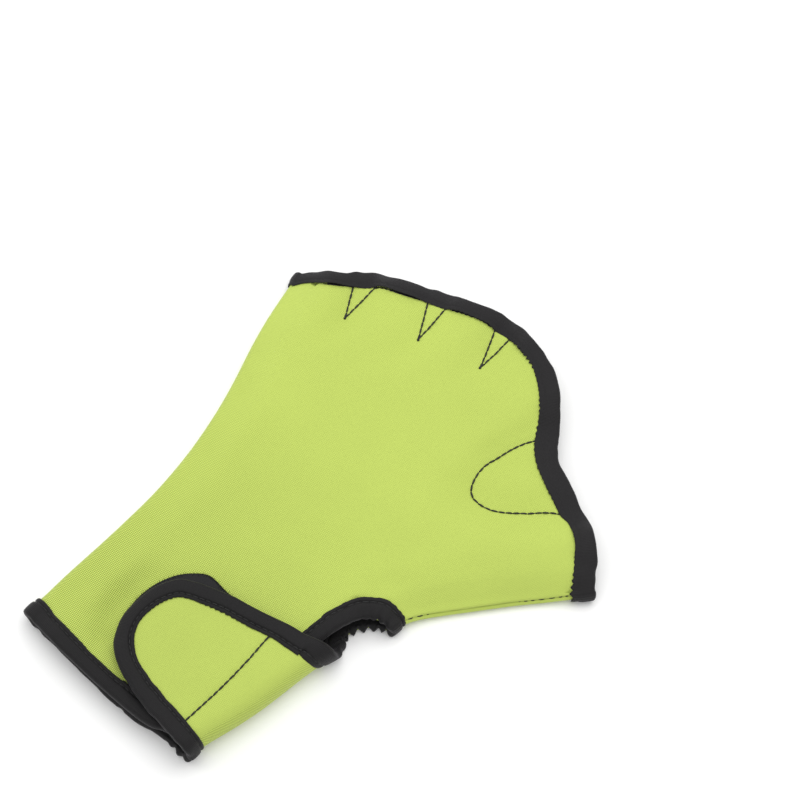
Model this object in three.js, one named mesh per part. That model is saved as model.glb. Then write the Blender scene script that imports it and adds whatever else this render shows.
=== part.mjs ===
// Webbed swim glove, lying flat with its strap tab closed over the upper panel.
// Millimetres, +Z up. +Y runs from the wrist to the finger tips, +X points to the thumb side.
// The origin is at the middle of the glove's footprint, on the surface it lies on.

import * as THREE from "three";

// Driving sizes of the sheet: its outline lying flat, and its thickness
const GLOVE_WIDTH = 181.6;
const GLOVE_LENGTH = 226.6;
const WALL = 2.2;
const EDGE_WALL = 1.4;

// Binding tape that wraps every raw edge
const TAPE_WIDTH = 7.7;
const TAPE_THICKNESS = 0.7;
const CLEARANCE = 0.3;

// Room for the hand between the two panels
const WRIST_ROOM = 6.6;
const PALM_ROOM = 8.0;
const FINGER_ROOM = 9.0;
const FOLD_ROOM_AT_FINGERS = 2.6;
const FOLD_ROOM_AT_WRIST = 4.6;
const SEAM_ROOM = 0.4;
const STITCHED_ROOM = 0.5;

// How far from a fold, seam or stitched line the room opens up to its full height
const FOLD_REACH = 14;
const SEAM_REACH = 17;
const DART_REACH = 10;
const WEB_REACH = 12;

// Strap tab: how far its turn bulges sideways, how much its upper edge runs askew round the turn,
// and the hook patch under its end
const TURN_BULGE = 5.2;
const TURN_SLANT = 4.7;
const PATCH_THICKNESS = 1.0;

// Run over which the hook patch climbs onto the taped side edge of the upper panel
const PATCH_CLIMB = 6;

// How high the stitched darts and web draw the lower panel up
const STITCH_RISE = 3.0;

// How far the upper panel's rim droops over the little and ring fingers
const FINGER_DROOP = 2.8;

// Mesh density
const ROWS_BESIDE_SEAM = 6;
const ROWS_BESIDE_VENT = 6;
const ROWS_BESIDE_TAB = 6;
const COLUMNS = 31;
const TAB_COLUMNS = 11;
const PATCH_COLUMNS = 10;
const FOLD_STEPS = 5;
const SEAM_STEPS = 4;
const TURN_STEPS = 7;

// Outline tables. "across" is the share of GLOVE_WIDTH from the little finger's side, "along" is the
// share of GLOVE_LENGTH from the wrist. Rows run in the order of the glove's edge.

// Outer line of the fold beside the little finger, from the wrist up
const FOLD_LINE = [
  { across: 0.096, along: 0.028 },
  { across: 0.105, along: 0.127 },
  { across: 0.116, along: 0.237 },
  { across: 0.121, along: 0.352 },
  { across: 0.11, along: 0.462 },
  { across: 0.084, along: 0.568 },
  { across: 0.04, along: 0.692 },
  { across: 0.009, along: 0.82 },
];

// Open edge from the little finger over the finger tips, down the web and along the thumb tip
const FINGER_EDGE = [
  { across: 0.058, along: 0.85 },
  { across: 0.102, along: 0.879 },
  { across: 0.176, along: 0.92 },
  { across: 0.268, along: 0.949 },
  { across: 0.362, along: 0.975 },
  { across: 0.453, along: 0.992 },
  { across: 0.521, along: 0.987 },
  { across: 0.603, along: 0.962 },
  { across: 0.66, along: 0.923 },
  { across: 0.7, along: 0.876 },
  { across: 0.741, along: 0.835 },
  { across: 0.825, along: 0.797 },
  { across: 0.912, along: 0.755 },
  { across: 0.965, along: 0.711 },
];

// Sewn seam along the outside of the thumb, from its tip down to the vent
const SEAM_LINE = [
  { across: 1, along: 0.672 },
  { across: 0.967, along: 0.645 },
  { across: 0.9, along: 0.594 },
  { across: 0.842, along: 0.542 },
  { across: 0.785, along: 0.49 },
  { across: 0.734, along: 0.44 },
  { across: 0.726, along: 0.399 },
];

// Upper panel's edge below the seam: round the vent, then down under the tab to the rounded corner
const UPPER_VENT_EDGE = [
  { across: 0.69, along: 0.402 },
  { across: 0.662, along: 0.389 },
  { across: 0.645, along: 0.363 },
  { across: 0.631, along: 0.329 },
  { across: 0.623, along: 0.297 },
];
const UPPER_SIDE_EDGE = [
  { across: 0.611, along: 0.251 },
  { across: 0.595, along: 0.171 },
  { across: 0.571, along: 0.096 },
  { across: 0.544, along: 0.03 },
];

// Upper panel's wrist edge from the rounded corner back to the fold
const UPPER_WRIST_EDGE = [
  { across: 0.486, along: 0.011 },
  { across: 0.42, along: 0.007 },
  { across: 0.343, along: 0.009 },
  { across: 0.26, along: 0.013 },
  { across: 0.177, along: 0.019 },
];

// Lower panel's edge round the vent, and its wrist edge, which ends a little short of the upper one
const LOWER_VENT_EDGE = [
  { across: 0.693, along: 0.394 },
  { across: 0.671, along: 0.378 },
  { across: 0.653, along: 0.355 },
];
const LOWER_WRIST_EDGE = [
  { across: 0.486, along: 0.013 },
  { across: 0.42, along: 0.013 },
  { across: 0.343, along: 0.015 },
  { across: 0.26, along: 0.019 },
  { across: 0.177, along: 0.024 },
];

// Outer line of the turn where the lower panel runs on as the tab, from the vent down
const TURN_LINE = [
  { across: 0.674, along: 0.31 },
  { across: 0.654, along: 0.264 },
  { across: 0.643, along: 0.224 },
  { across: 0.631, along: 0.167 },
  { across: 0.61, along: 0.101 },
  { across: 0.589, along: 0.048 },
  { across: 0.584, along: 0.007 },
];

// Edge of the tab where it lies on the upper panel: upper edge, round tip, lower edge
const TAB_UPPER_EDGE = [
  { across: 0.59, along: 0.292 },
  { across: 0.521, along: 0.278 },
  { across: 0.464, along: 0.269 },
  { across: 0.414, along: 0.262 },
  { across: 0.365, along: 0.249 },
];
const TAB_TIP_EDGE = [
  { across: 0.315, along: 0.229 },
  { across: 0.291, along: 0.2 },
  { across: 0.276, along: 0.162 },
  { across: 0.277, along: 0.123 },
  { across: 0.293, along: 0.092 },
  { across: 0.329, along: 0.063 },
];
const TAB_LOWER_EDGE = [
  { across: 0.398, along: 0.036 },
  { across: 0.442, along: 0.026 },
  { across: 0.502, along: 0.014 },
];

// Hook patch: upper side from the tip, then lower side from the tip
const PATCH_UPPER_SIDE = [
  { across: 0.301, along: 0.238 },
  { across: 0.341, along: 0.267 },
  { across: 0.402, along: 0.28 },
  { across: 0.455, along: 0.276 },
  { across: 0.54, along: 0.244 },
];
const PATCH_LOWER_SIDE = [
  { across: 0.298, along: 0.094 },
  { across: 0.346, along: 0.076 },
  { across: 0.409, along: 0.07 },
  { across: 0.464, along: 0.062 },
  { across: 0.531, along: 0.055 },
];
const PATCH_TIP = [
  { across: 0.298, along: 0.094 },
  { across: 0.276, along: 0.123 },
  { across: 0.27, along: 0.165 },
  { across: 0.279, along: 0.205 },
  { across: 0.301, along: 0.238 },
];

// Darts between the fingers, each from the open edge down to its point, and the line of the web
const DARTS = [
  { across: 0.151, along: 0.911, pointAcross: 0.175, pointAlong: 0.807 },
  { across: 0.301, along: 0.964, pointAcross: 0.334, pointAlong: 0.858 },
  { across: 0.467, along: 0.995, pointAcross: 0.483, pointAlong: 0.885 },
];
const WEB_OUTLINE = [
  { across: 0.7, along: 0.875 },
  { across: 0.669, along: 0.811 },
  { across: 0.65, along: 0.765 },
  { across: 0.642, along: 0.729 },
  { across: 0.65, along: 0.69 },
  { across: 0.676, along: 0.676 },
  { across: 0.716, along: 0.681 },
  { across: 0.778, along: 0.716 },
  { across: 0.835, along: 0.753 },
  { across: 0.871, along: 0.775 },
];

// Places along the hand where the room changes, as shares of GLOVE_LENGTH
const WRIST_ENDS = 0.3;
const PALM_MIDDLE = 0.55;
const FINGERS_BEGIN = 0.8;

// Stretch of the open edge over which the rim's droop fades out, as shares of the edge's length
const DROOP_FADES = 0.15;
const DROOP_ENDS = 0.55;

// Sizes that follow from the ones above
const HALF_WALL = WALL / 2;
const HALF_EDGE = EDGE_WALL / 2;
const HALF_TAPE = HALF_EDGE + CLEARANCE + TAPE_THICKNESS;
const EDGE_LIFT = HALF_TAPE - HALF_WALL;
const TAPED_ROOM = 2 * EDGE_LIFT + CLEARANCE;
const SEAM_END_ROOM = TAPED_ROOM + CLEARANCE;
const PATCH_LIFT = HALF_WALL + CLEARANCE + PATCH_THICKNESS / 2;
const TAB_LIFT = Math.max(PATCH_LIFT + PATCH_THICKNESS / 2, HALF_TAPE) + CLEARANCE + HALF_TAPE;
const MEASURE_STEPS = 60;

const { clamp, lerp, smoothstep } = THREE.MathUtils;
const ease = (share) => smoothstep(share, 0, 1);
const evenShares = (count) => Array.from({ length: count + 1 }, (_, index) => index / count);
const curveThrough = (knots) => new THREE.CatmullRomCurve3(knots, false, "centripetal");

// Point in the plan for a row of an outline table
function place(row) {
  return new THREE.Vector3((row.across - 0.5) * GLOVE_WIDTH, (row.along - 0.5) * GLOVE_LENGTH, 0);
}

// Shares for the rows of a fold: both raw ends, the binding's inner line at each, and rows between
function rowShares(count, length) {
  const taped = TAPE_WIDTH / length;
  return [0, ...evenShares(count).map((share) => lerp(taped, 1 - taped, share)), 1];
}

// Stations by arc length on the curve through the knots, between two of them.
// "inward" lies in the plan, to the right of the way that the curve runs.
function stations(knots, first, last, shares) {
  const curve = curveThrough(knots);
  const fineSteps = 40 * (last - first);
  const fine = [];
  let travelled = 0;
  for (let step = 0; step <= fineSteps; step += 1) {
    const share = lerp(first, last, step / fineSteps) / (knots.length - 1);
    const point = curve.getPoint(share);
    travelled += step === 0 ? 0 : point.distanceTo(fine[step - 1].point);
    fine.push({ point, share, travelled });
  }
  return shares.map((wantedShare) => {
    const wanted = travelled * wantedShare;
    const found = fine.findIndex((entry) => entry.travelled >= wanted);
    const step = found < 0 ? fineSteps : Math.max(1, found);
    const from = fine[step - 1];
    const to = fine[step];
    const share = lerp(from.share, to.share, (wanted - from.travelled) / (to.travelled - from.travelled));
    const tangent = curve.getTangent(share);
    const inward = new THREE.Vector3(tangent.y, -tangent.x, 0).normalize();
    return { point: curve.getPoint(share), tangent, inward, share: wantedShare };
  });
}

// Line along which a fold meets the flat panel beside it; "bulge" is the fold's depth in the plan
function foldRows(knots, shares, bulgeAt) {
  return stations(knots, 0, knots.length - 1, shares).map((station) => {
    const bulge = bulgeAt(station.share);
    const base = station.point.clone().addScaledVector(station.inward, bulge + HALF_WALL);
    return { ...station, bulge, point: base };
  });
}

const foldKnots = FOLD_LINE.map(place);
const seamKnots = SEAM_LINE.map(place);
const turnKnots = TURN_LINE.map(place);
const foldLength = curveThrough(foldKnots).getLength();
const seamLength = curveThrough(seamKnots).getLength();
const turnLength = curveThrough(turnKnots).getLength();

const foldRoom = (share) => lerp(FOLD_ROOM_AT_WRIST, FOLD_ROOM_AT_FINGERS, ease(share));

// The seam opens a little at both ends, where the binding goes round it
function seamRoom(share) {
  const fromEnd = seamLength * Math.min(share, 1 - share);
  return lerp(SEAM_END_ROOM, SEAM_ROOM, ease((fromEnd - TAPE_WIDTH) / TAPE_WIDTH));
}

const foldBulge = (share) => (foldRoom(share) + WALL) / 2;
const seamBulge = (share) => (seamRoom(share) + WALL) / 2;
const turnBulge = () => TURN_BULGE;
const foldLine = foldRows(foldKnots, evenShares(MEASURE_STEPS), foldBulge);
const seamLine = foldRows(seamKnots, evenShares(MEASURE_STEPS), seamBulge);

// The tab's turn runs askew: its upper end leaves the lower panel higher than it lands on the upper one
function turnEnds(shares) {
  return foldRows(turnKnots, shares, turnBulge).map((row) => {
    const slant = TURN_SLANT * (1 - row.share);
    const under = row.point.clone().addScaledVector(row.tangent, -slant);
    const over = row.point.clone().addScaledVector(row.tangent, slant);
    return { ...row, under, over };
  });
}

// Knots of each run of raw edge, from one fold's end to the next
const seamFoot = seamLine[MEASURE_STEPS].point;
const foldFoot = foldLine[0].point;
const [turnTop, turnFoot] = turnEnds([0, 1]);
const fingerKnots = [foldLine[MEASURE_STEPS].point, ...FINGER_EDGE.map(place), seamLine[0].point];
const upperKnots = [
  seamFoot,
  ...[...UPPER_VENT_EDGE, ...UPPER_SIDE_EDGE, ...UPPER_WRIST_EDGE].map(place),
  foldFoot,
];
const lowerVentKnots = [seamFoot, ...LOWER_VENT_EDGE.map(place), turnTop.under];
const lowerWristKnots = [turnFoot.under, ...LOWER_WRIST_EDGE.map(place), foldFoot];
const tabKnots = [
  turnTop.over,
  ...[...TAB_UPPER_EDGE, ...TAB_TIP_EDGE, ...TAB_LOWER_EDGE].map(place),
  turnFoot.over,
];

function distanceToSegment(x, y, from, to) {
  const runX = to.x - from.x;
  const runY = to.y - from.y;
  const share = clamp(((x - from.x) * runX + (y - from.y) * runY) / (runX * runX + runY * runY), 0, 1);
  return { share, distance: Math.hypot(x - from.x - share * runX, y - from.y - share * runY) };
}

function nearest(line, x, y) {
  let best = { distance: Infinity, share: 0 };
  for (let index = 1; index < line.length; index += 1) {
    const found = distanceToSegment(x, y, line[index - 1].point, line[index].point);
    if (found.distance < best.distance) {
      best = { distance: found.distance, share: (index - 1 + found.share) / (line.length - 1) };
    }
  }
  return best;
}

const rawLines = [fingerKnots, lowerVentKnots, lowerWristKnots].map((knots) =>
  stations(knots, 0, knots.length - 1, evenShares(MEASURE_STEPS)));
const fingerLine = rawLines[0];
const dartLines = DARTS.map((dart) => [
  place(dart),
  place({ across: dart.pointAcross, along: dart.pointAlong }),
]);
const webPoints = WEB_OUTLINE.map(place);

function distanceToDarts(x, y) {
  return Math.min(...dartLines.map(([top, point]) => distanceToSegment(x, y, top, point).distance));
}

// Zero inside the web's stitched outline
function distanceToWeb(x, y) {
  let inside = false;
  let distance = Infinity;
  webPoints.forEach((point, index) => {
    const next = webPoints[(index + 1) % webPoints.length];
    const slope = (next.x - point.x) / (next.y - point.y);
    if (point.y > y !== next.y > y && x < point.x + (y - point.y) * slope) inside = !inside;
    distance = Math.min(distance, distanceToSegment(x, y, point, next).distance);
  });
  return inside ? 0 : distance;
}

// Droop of the upper panel's rim, along the open edge from the little finger
const droopAt = (share) => FINGER_DROOP * (1 - smoothstep(share, DROOP_FADES, DROOP_ENDS));

// Share of the full room that the stitched darts and web leave, 0 on them and 1 away from them
function unstitched(x, y) {
  return ease(distanceToDarts(x, y) / DART_REACH) * ease(distanceToWeb(x, y) / WEB_REACH);
}

// Room along the hand, away from folds and stitches
function handRoom(y) {
  const share = y / GLOVE_LENGTH + 0.5;
  const palm = lerp(WRIST_ROOM, PALM_ROOM, smoothstep(share, WRIST_ENDS, PALM_MIDDLE));
  return lerp(palm, FINGER_ROOM, smoothstep(share, PALM_MIDDLE, FINGERS_BEGIN));
}

// Clear height between the two panels at a place in the plan
function roomAt(x, y) {
  const fold = nearest(foldLine, x, y);
  const seam = nearest(seamLine, x, y);
  const besideFold = lerp(foldRoom(fold.share), handRoom(y), ease(fold.distance / FOLD_REACH));
  const open = lerp(seamRoom(seam.share), besideFold, ease(seam.distance / SEAM_REACH));
  const edge = nearest(fingerLine, x, y);
  const fromTape = edge.distance - TAPE_WIDTH;
  const stitched = Math.min(open, lerp(TAPED_ROOM, STITCHED_ROOM, ease(fromTape / TAPE_WIDTH)));
  const level = lerp(stitched, open, unstitched(x, y));
  const droop = droopAt(edge.share) * clamp(-fromTape / TAPE_WIDTH, 0, 1);
  return Math.max(Math.min(level, TAPED_ROOM), level - droop);
}

// Middle height of each layer of the sheet. The lower panel lies flat, lifts a little at its taped
// edges and is drawn up where it is stitched to the upper one.
function lowerHeight(x, y) {
  const fromEdge = Math.min(...rawLines.map((line) => nearest(line, x, y).distance)) - TAPE_WIDTH;
  const rise = STITCH_RISE * (1 - unstitched(x, y));
  return HALF_WALL + rise + EDGE_LIFT * (1 - ease(fromEdge / TAPE_WIDTH));
}
const upperHeight = (x, y) => lowerHeight(x, y) + WALL + roomAt(x, y);
const tabHeight = (x, y) => upperHeight(x, y) + TAB_LIFT;

const vertexAt = (point, height, half) => ({ x: point.x, y: point.y, z: height(point.x, point.y), half });

// Vertices round a half-round bend from one layer to another
function bend(from, to, inward, bulge, steps) {
  return evenShares(steps).map((share) => {
    if (share === 0) return from;
    if (share === 1) return to;
    const angle = (share - 0.5) * Math.PI;
    return {
      x: lerp(from.x, to.x, share) - inward.x * bulge * Math.cos(angle),
      y: lerp(from.y, to.y, share) - inward.y * bulge * Math.cos(angle),
      z: (from.z + to.z) / 2 + ((to.z - from.z) / 2) * Math.sin(angle),
      half: lerp(from.half, to.half, share),
    };
  });
}

// Rows of a bend; the two rows at each end lie under the binding
function bendRows(rows, fromKey, fromHeight, toKey, toHeight, steps) {
  return rows.map((row, index) => {
    const half = index < 2 || index > rows.length - 3 ? HALF_EDGE : HALF_WALL;
    const from = vertexAt(row[fromKey], fromHeight, half);
    const to = vertexAt(row[toKey], toHeight, half);
    return bend(from, to, row.inward, row.bulge, steps);
  });
}

// Rim and inner line of a taped edge. Its ends are shared with the bends it runs into.
function tapedEdge(stationList, height, side, start, finish) {
  const rim = stationList.map((station) => vertexAt(station.point, height, HALF_EDGE));
  const inner = stationList.map((station, index) => {
    const level = station.point.clone().addScaledVector(station.inward, side * TAPE_WIDTH);
    const slope = Math.hypot(TAPE_WIDTH, height(level.x, level.y) - rim[index].z);
    const run = TAPE_WIDTH ** 2 / slope;
    return vertexAt(station.point.clone().addScaledVector(station.inward, side * run), height, HALF_EDGE);
  });
  if (start) {
    rim[0] = start.rim;
    inner[0] = start.inner;
  }
  if (finish) {
    rim[rim.length - 1] = finish.rim;
    inner[inner.length - 1] = finish.inner;
  }
  return { rim, inner };
}

// Coons patch between four rows of vertices, at the given height
function patch(bottom, right, top, left, height, half) {
  const columns = bottom.length - 1;
  const rows = left.length - 1;
  const blend = (key, u, v, column, row) =>
    lerp(bottom[column][key], top[column][key], v) + lerp(left[row][key], right[row][key], u)
    - lerp(lerp(bottom[0][key], bottom[columns][key], u), lerp(top[0][key], top[columns][key], u), v);
  return left.map((leftVertex, row) => bottom.map((bottomVertex, column) => {
    if (row === 0) return bottomVertex;
    if (row === rows) return top[column];
    if (column === 0) return leftVertex;
    if (column === columns) return right[row];
    const x = blend("x", column / columns, row / rows, column, row);
    const y = blend("y", column / columns, row / rows, column, row);
    return vertexAt({ x, y }, height, half);
  }));
}

const reversed = (list) => [...list].reverse();
const flipped = (edge) => ({ rim: reversed(edge.rim), inner: reversed(edge.inner) });
const rowPair = (rows, rim, inner) => ({ rim: rows[rim], inner: rows[inner] });

// Last or first vertices of the rim row and the inner row, where two runs meet
function ends(rows, rim, inner, column) {
  return { rim: rows.at(rim).at(column), inner: rows.at(inner).at(column) };
}

// Closed loop of taped edge from runs that share their end vertices
function loopOf(runs) {
  return {
    rim: runs.flatMap((run) => run.rim.slice(1)),
    inner: runs.flatMap((run) => run.inner.slice(1)),
  };
}

// Bends: little finger's fold, thumb seam and the tab's turn. Rows run from the wrist up,
// apart from the seam's, which run from the thumb tip down.
const panelRows = ROWS_BESIDE_SEAM + ROWS_BESIDE_VENT + ROWS_BESIDE_TAB;
const foldBend = bendRows(
  foldRows(foldKnots, rowShares(panelRows, foldLength), foldBulge),
  "point", lowerHeight, "point", upperHeight, FOLD_STEPS,
);
const seamBend = bendRows(
  foldRows(seamKnots, rowShares(ROWS_BESIDE_SEAM, seamLength), seamBulge),
  "point", upperHeight, "point", lowerHeight, SEAM_STEPS,
);
const turnBend = reversed(bendRows(
  turnEnds(rowShares(ROWS_BESIDE_TAB, turnLength)),
  "over", tabHeight, "under", lowerHeight, TURN_STEPS,
));

// Taped edges of the two panels and the tab
const fingerStations = stations(fingerKnots, 0, fingerKnots.length - 1, evenShares(COLUMNS));
const fingerUpper = tapedEdge(
  fingerStations, upperHeight, 1, ends(foldBend, -1, -2, -1), ends(seamBend, 0, 1, 0),
);
const fingerLower = tapedEdge(
  fingerStations, lowerHeight, 1, ends(foldBend, -1, -2, 0), ends(seamBend, 0, 1, -1),
);
const ventKnot = UPPER_VENT_EDGE.length;
const cornerKnot = ventKnot + UPPER_SIDE_EDGE.length;
const upperVent = tapedEdge(
  stations(upperKnots, 0, ventKnot, evenShares(ROWS_BESIDE_VENT)), upperHeight, 1,
  ends(seamBend, -1, -2, 0), null,
);
const upperSide = tapedEdge(
  stations(upperKnots, ventKnot, cornerKnot, evenShares(ROWS_BESIDE_TAB)), upperHeight, 1,
  ends([upperVent.inner, upperVent.rim], -1, -2, -1), null,
);
const upperWrist = tapedEdge(
  stations(upperKnots, cornerKnot, upperKnots.length - 1, evenShares(COLUMNS)), upperHeight, 1,
  ends([upperSide.inner, upperSide.rim], -1, -2, -1), ends(foldBend, 0, 1, -1),
);
const lowerVent = tapedEdge(
  stations(lowerVentKnots, 0, lowerVentKnots.length - 1, evenShares(ROWS_BESIDE_VENT)), lowerHeight, 1,
  ends(seamBend, -1, -2, -1), ends(turnBend, -1, -2, -1),
);
const lowerWrist = tapedEdge(
  stations(lowerWristKnots, 0, lowerWristKnots.length - 1, evenShares(COLUMNS)), lowerHeight, 1,
  ends(turnBend, 0, 1, -1), ends(foldBend, 0, 1, 0),
);
const tipKnot = TAB_UPPER_EDGE.length + 1;
const heelKnot = tipKnot + TAB_TIP_EDGE.length - 1;
const tabUpper = tapedEdge(
  stations(tabKnots, 0, tipKnot, evenShares(TAB_COLUMNS)), tabHeight, -1,
  ends(turnBend, -1, -2, 0), null,
);
const tabTip = tapedEdge(
  stations(tabKnots, tipKnot, heelKnot, evenShares(ROWS_BESIDE_TAB)), tabHeight, -1,
  ends([tabUpper.inner, tabUpper.rim], -1, -2, -1), null,
);
const tabLower = tapedEdge(
  stations(tabKnots, heelKnot, tabKnots.length - 1, evenShares(TAB_COLUMNS)), tabHeight, -1,
  ends([tabTip.inner, tabTip.rim], -1, -2, -1), ends(turnBend, 0, 1, 0),
);

const fingerLoop = loopOf([
  flipped(fingerUpper),
  flipped(rowPair(foldBend, foldBend.length - 1, foldBend.length - 2)),
  fingerLower,
  flipped(rowPair(seamBend, 0, 1)),
]);
const wristLoop = loopOf([
  tabLower,
  rowPair(turnBend, 0, 1),
  lowerWrist,
  rowPair(foldBend, 0, 1),
  flipped(upperWrist),
  flipped(upperSide),
  flipped(upperVent),
  rowPair(seamBend, seamBend.length - 1, seamBend.length - 2),
  lowerVent,
  flipped(rowPair(turnBend, turnBend.length - 1, turnBend.length - 2)),
  tabUpper,
  tabTip,
]);

// Flat parts between the taped edges and the bends
const foldInner = foldBend.slice(1, -1);
const seamInner = reversed(seamBend.slice(1, -1));
const turnInner = turnBend.slice(1, -1);
const upperPanel = patch(
  reversed(upperWrist.inner),
  [
    ...reversed(upperSide.inner),
    ...reversed(upperVent.inner).slice(1),
    ...seamInner.slice(1).map((row) => row[0]),
  ],
  fingerUpper.inner,
  foldInner.map((row) => row.at(-1)),
  upperHeight,
  HALF_WALL,
);
const lowerPanel = patch(
  reversed(lowerWrist.inner),
  [
    ...turnInner.map((row) => row.at(-1)),
    ...reversed(lowerVent.inner).slice(1),
    ...seamInner.slice(1).map((row) => row.at(-1)),
  ],
  fingerLower.inner,
  foldInner.map((row) => row[0]),
  lowerHeight,
  HALF_WALL,
);
const tabPanel = patch(
  tabLower.inner,
  turnInner.map((row) => row[0]),
  reversed(tabUpper.inner),
  reversed(tabTip.inner),
  tabHeight,
  HALF_WALL,
);

// Collects the triangles of a sheet's middle surface, seen from outside
function sheetTriangles(grids, loops) {
  const triangles = [];
  const addQuad = (a, b, c, d) => triangles.push([a, b, c], [a, c, d]);
  grids.forEach((rows) => rows.slice(1).forEach((row, index) => {
    for (let column = 1; column < row.length; column += 1) {
      addQuad(rows[index][column - 1], rows[index][column], row[column], row[column - 1]);
    }
  }));
  loops.forEach(({ rim, inner }) => rim.forEach((vertex, index) => {
    const next = (index + 1) % rim.length;
    addQuad(vertex, rim[next], inner[next], inner[index]);
  }));
  return triangles;
}

// Writes on each vertex the sheet's outward direction there
function setNormals(triangles) {
  triangles.flat().forEach((vertex) => {
    vertex.normal = new THREE.Vector3();
  });
  triangles.forEach(([a, b, c]) => {
    const alongOne = new THREE.Vector3(b.x - a.x, b.y - a.y, b.z - a.z);
    const alongTwo = new THREE.Vector3(c.x - a.x, c.y - a.y, c.z - a.z);
    const face = alongOne.cross(alongTwo);
    [a, b, c].forEach((vertex) => vertex.normal.add(face));
  });
  triangles.flat().forEach((vertex) => vertex.normal.normalize());
}

const offset = (vertex, distance) =>
  new THREE.Vector3(vertex.x, vertex.y, vertex.z).addScaledVector(vertex.normal, distance);

function meshOf(name, points, faces, material) {
  const geometry = new THREE.BufferGeometry();
  const numbers = points.flatMap((point) => [point.x, point.y, point.z]);
  geometry.setAttribute("position", new THREE.Float32BufferAttribute(numbers, 3));
  geometry.setIndex(faces.flat());
  geometry.computeVertexNormals();
  const mesh = new THREE.Mesh(geometry, material);
  mesh.name = name;
  return mesh;
}

// Solid sheet: the middle surface moved out to both faces, and closed along its rims
function solidSheet(name, triangles, rims, material) {
  const vertices = [...new Set(triangles.flat())];
  const numbers = new Map(vertices.map((vertex, index) => [vertex, index]));
  const outside = vertices.map((vertex) => offset(vertex, vertex.half));
  const inside = vertices.map((vertex) => offset(vertex, -vertex.half));
  const within = vertices.length;
  const faces = triangles.flatMap((corners) => {
    const [a, b, c] = corners.map((vertex) => numbers.get(vertex));
    return [[a, b, c], [within + a, within + c, within + b]];
  });
  rims.forEach((rim) => rim.forEach((vertex, index) => {
    const from = numbers.get(vertex);
    const to = numbers.get(rim[(index + 1) % rim.length]);
    faces.push([to, from, within + from], [to, within + from, within + to]);
  }));
  return meshOf(name, [...outside, ...inside], faces, material);
}

// Section of the binding at one station, a channel round the sheet's edge. "depth" is 0 at the rim
// and 1 at the binding's inner line.
function tapeSection(rim, inner) {
  const outward = new THREE.Vector3(rim.x - inner.x, rim.y - inner.y, rim.z - inner.z).normalize();
  const lining = rim.half + CLEARANCE;
  const skin = lining + TAPE_THICKNESS;
  const beyond = CLEARANCE + TAPE_THICKNESS;
  const at = (distance, out) => offset(rim, distance).addScaledVector(outward, out);
  return [
    { point: offset(inner, inner.half + CLEARANCE), depth: 1 },
    { point: at(lining, CLEARANCE), depth: 0 },
    { point: at(-lining, CLEARANCE), depth: 0 },
    { point: offset(inner, -inner.half - CLEARANCE), depth: 1 },
    { point: offset(inner, -inner.half - beyond), depth: 1 },
    { point: at(-skin, 0), depth: 0 },
    { point: at(-lining, beyond), depth: 0 },
    { point: at(lining, beyond), depth: 0 },
    { point: at(skin, 0), depth: 0 },
    { point: offset(inner, inner.half + beyond), depth: 1 },
  ];
}

// Binding tape: sections round a closed loop of taped edge
function binding(name, loop, material) {
  const sections = loop.rim.map((vertex, index) => tapeSection(vertex, loop.inner[index]));
  const sides = sections[0].length;
  const faces = [];
  sections.forEach((section, station) => {
    const nextStation = (station + 1) % sections.length;
    section.forEach((corner, side) => {
      const nextSide = (side + 1) % sides;
      const a = station * sides + side;
      const b = nextStation * sides + side;
      const c = nextStation * sides + nextSide;
      const d = station * sides + nextSide;
      const inwards = corner.depth <= section[nextSide].depth;
      faces.push(...(inwards ? [[a, b, c], [a, c, d]] : [[a, b, d], [b, c, d]]));
    });
  });
  return meshOf(name, sections.flat().map((corner) => corner.point), faces, material);
}

// Hook patch: it hangs just under the tab, and rides over the upper panel's taped side edge
const sideLine = stations(upperKnots, ventKnot, cornerKnot, evenShares(MEASURE_STEPS));

function patchHeight(x, y) {
  const overTape = TAB_LIFT - HALF_WALL - CLEARANCE - PATCH_THICKNESS / 2;
  const fromTape = nearest(sideLine, x, y).distance - TAPE_WIDTH - CLEARANCE;
  return upperHeight(x, y) + lerp(overTape, PATCH_LIFT, ease(fromTape / PATCH_CLIMB));
}

function hookPatch(material) {
  const run = (table, count) => {
    const knots = table.map(place);
    return stations(knots, 0, knots.length - 1, evenShares(count))
      .map((station) => vertexAt(station.point, patchHeight, PATCH_THICKNESS / 2));
  };
  const upper = run(PATCH_UPPER_SIDE, PATCH_COLUMNS);
  const lower = run(PATCH_LOWER_SIDE, PATCH_COLUMNS);
  const tip = run(PATCH_TIP, ROWS_BESIDE_TAB);
  const straight = run([PATCH_LOWER_SIDE.at(-1), PATCH_UPPER_SIDE.at(-1)], ROWS_BESIDE_TAB);
  const rows = patch(lower, straight, upper, tip, patchHeight, PATCH_THICKNESS / 2);
  const rim = [
    ...rows[0],
    ...rows.slice(1, -1).map((row) => row.at(-1)),
    ...reversed(rows.at(-1)),
    ...reversed(rows.slice(1, -1).map((row) => row[0])),
  ];
  const triangles = sheetTriangles([rows], []);
  setNormals(triangles);
  return solidSheet("hook_patch", triangles, [rim], material);
}

const neoprene = new THREE.MeshStandardMaterial({ color: 0xcbdf6b, roughness: 0.85, metalness: 0 });
const tape = new THREE.MeshStandardMaterial({ color: 0x2e2c2d, roughness: 0.9, metalness: 0 });
const hooks = new THREE.MeshStandardMaterial({ color: 0x17171a, roughness: 0.95, metalness: 0 });

const shellTriangles = sheetTriangles(
  [upperPanel, lowerPanel.map(reversed), foldInner, seamInner, turnInner, tabPanel],
  [fingerLoop, wristLoop],
);
setNormals(shellTriangles);

const glove = new THREE.Group();
glove.add(
  solidSheet("neoprene_shell", shellTriangles, [fingerLoop.rim, wristLoop.rim], neoprene),
  binding("finger_binding", fingerLoop, tape),
  binding("wrist_binding", wristLoop, tape),
  hookPatch(hooks),
);

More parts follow.
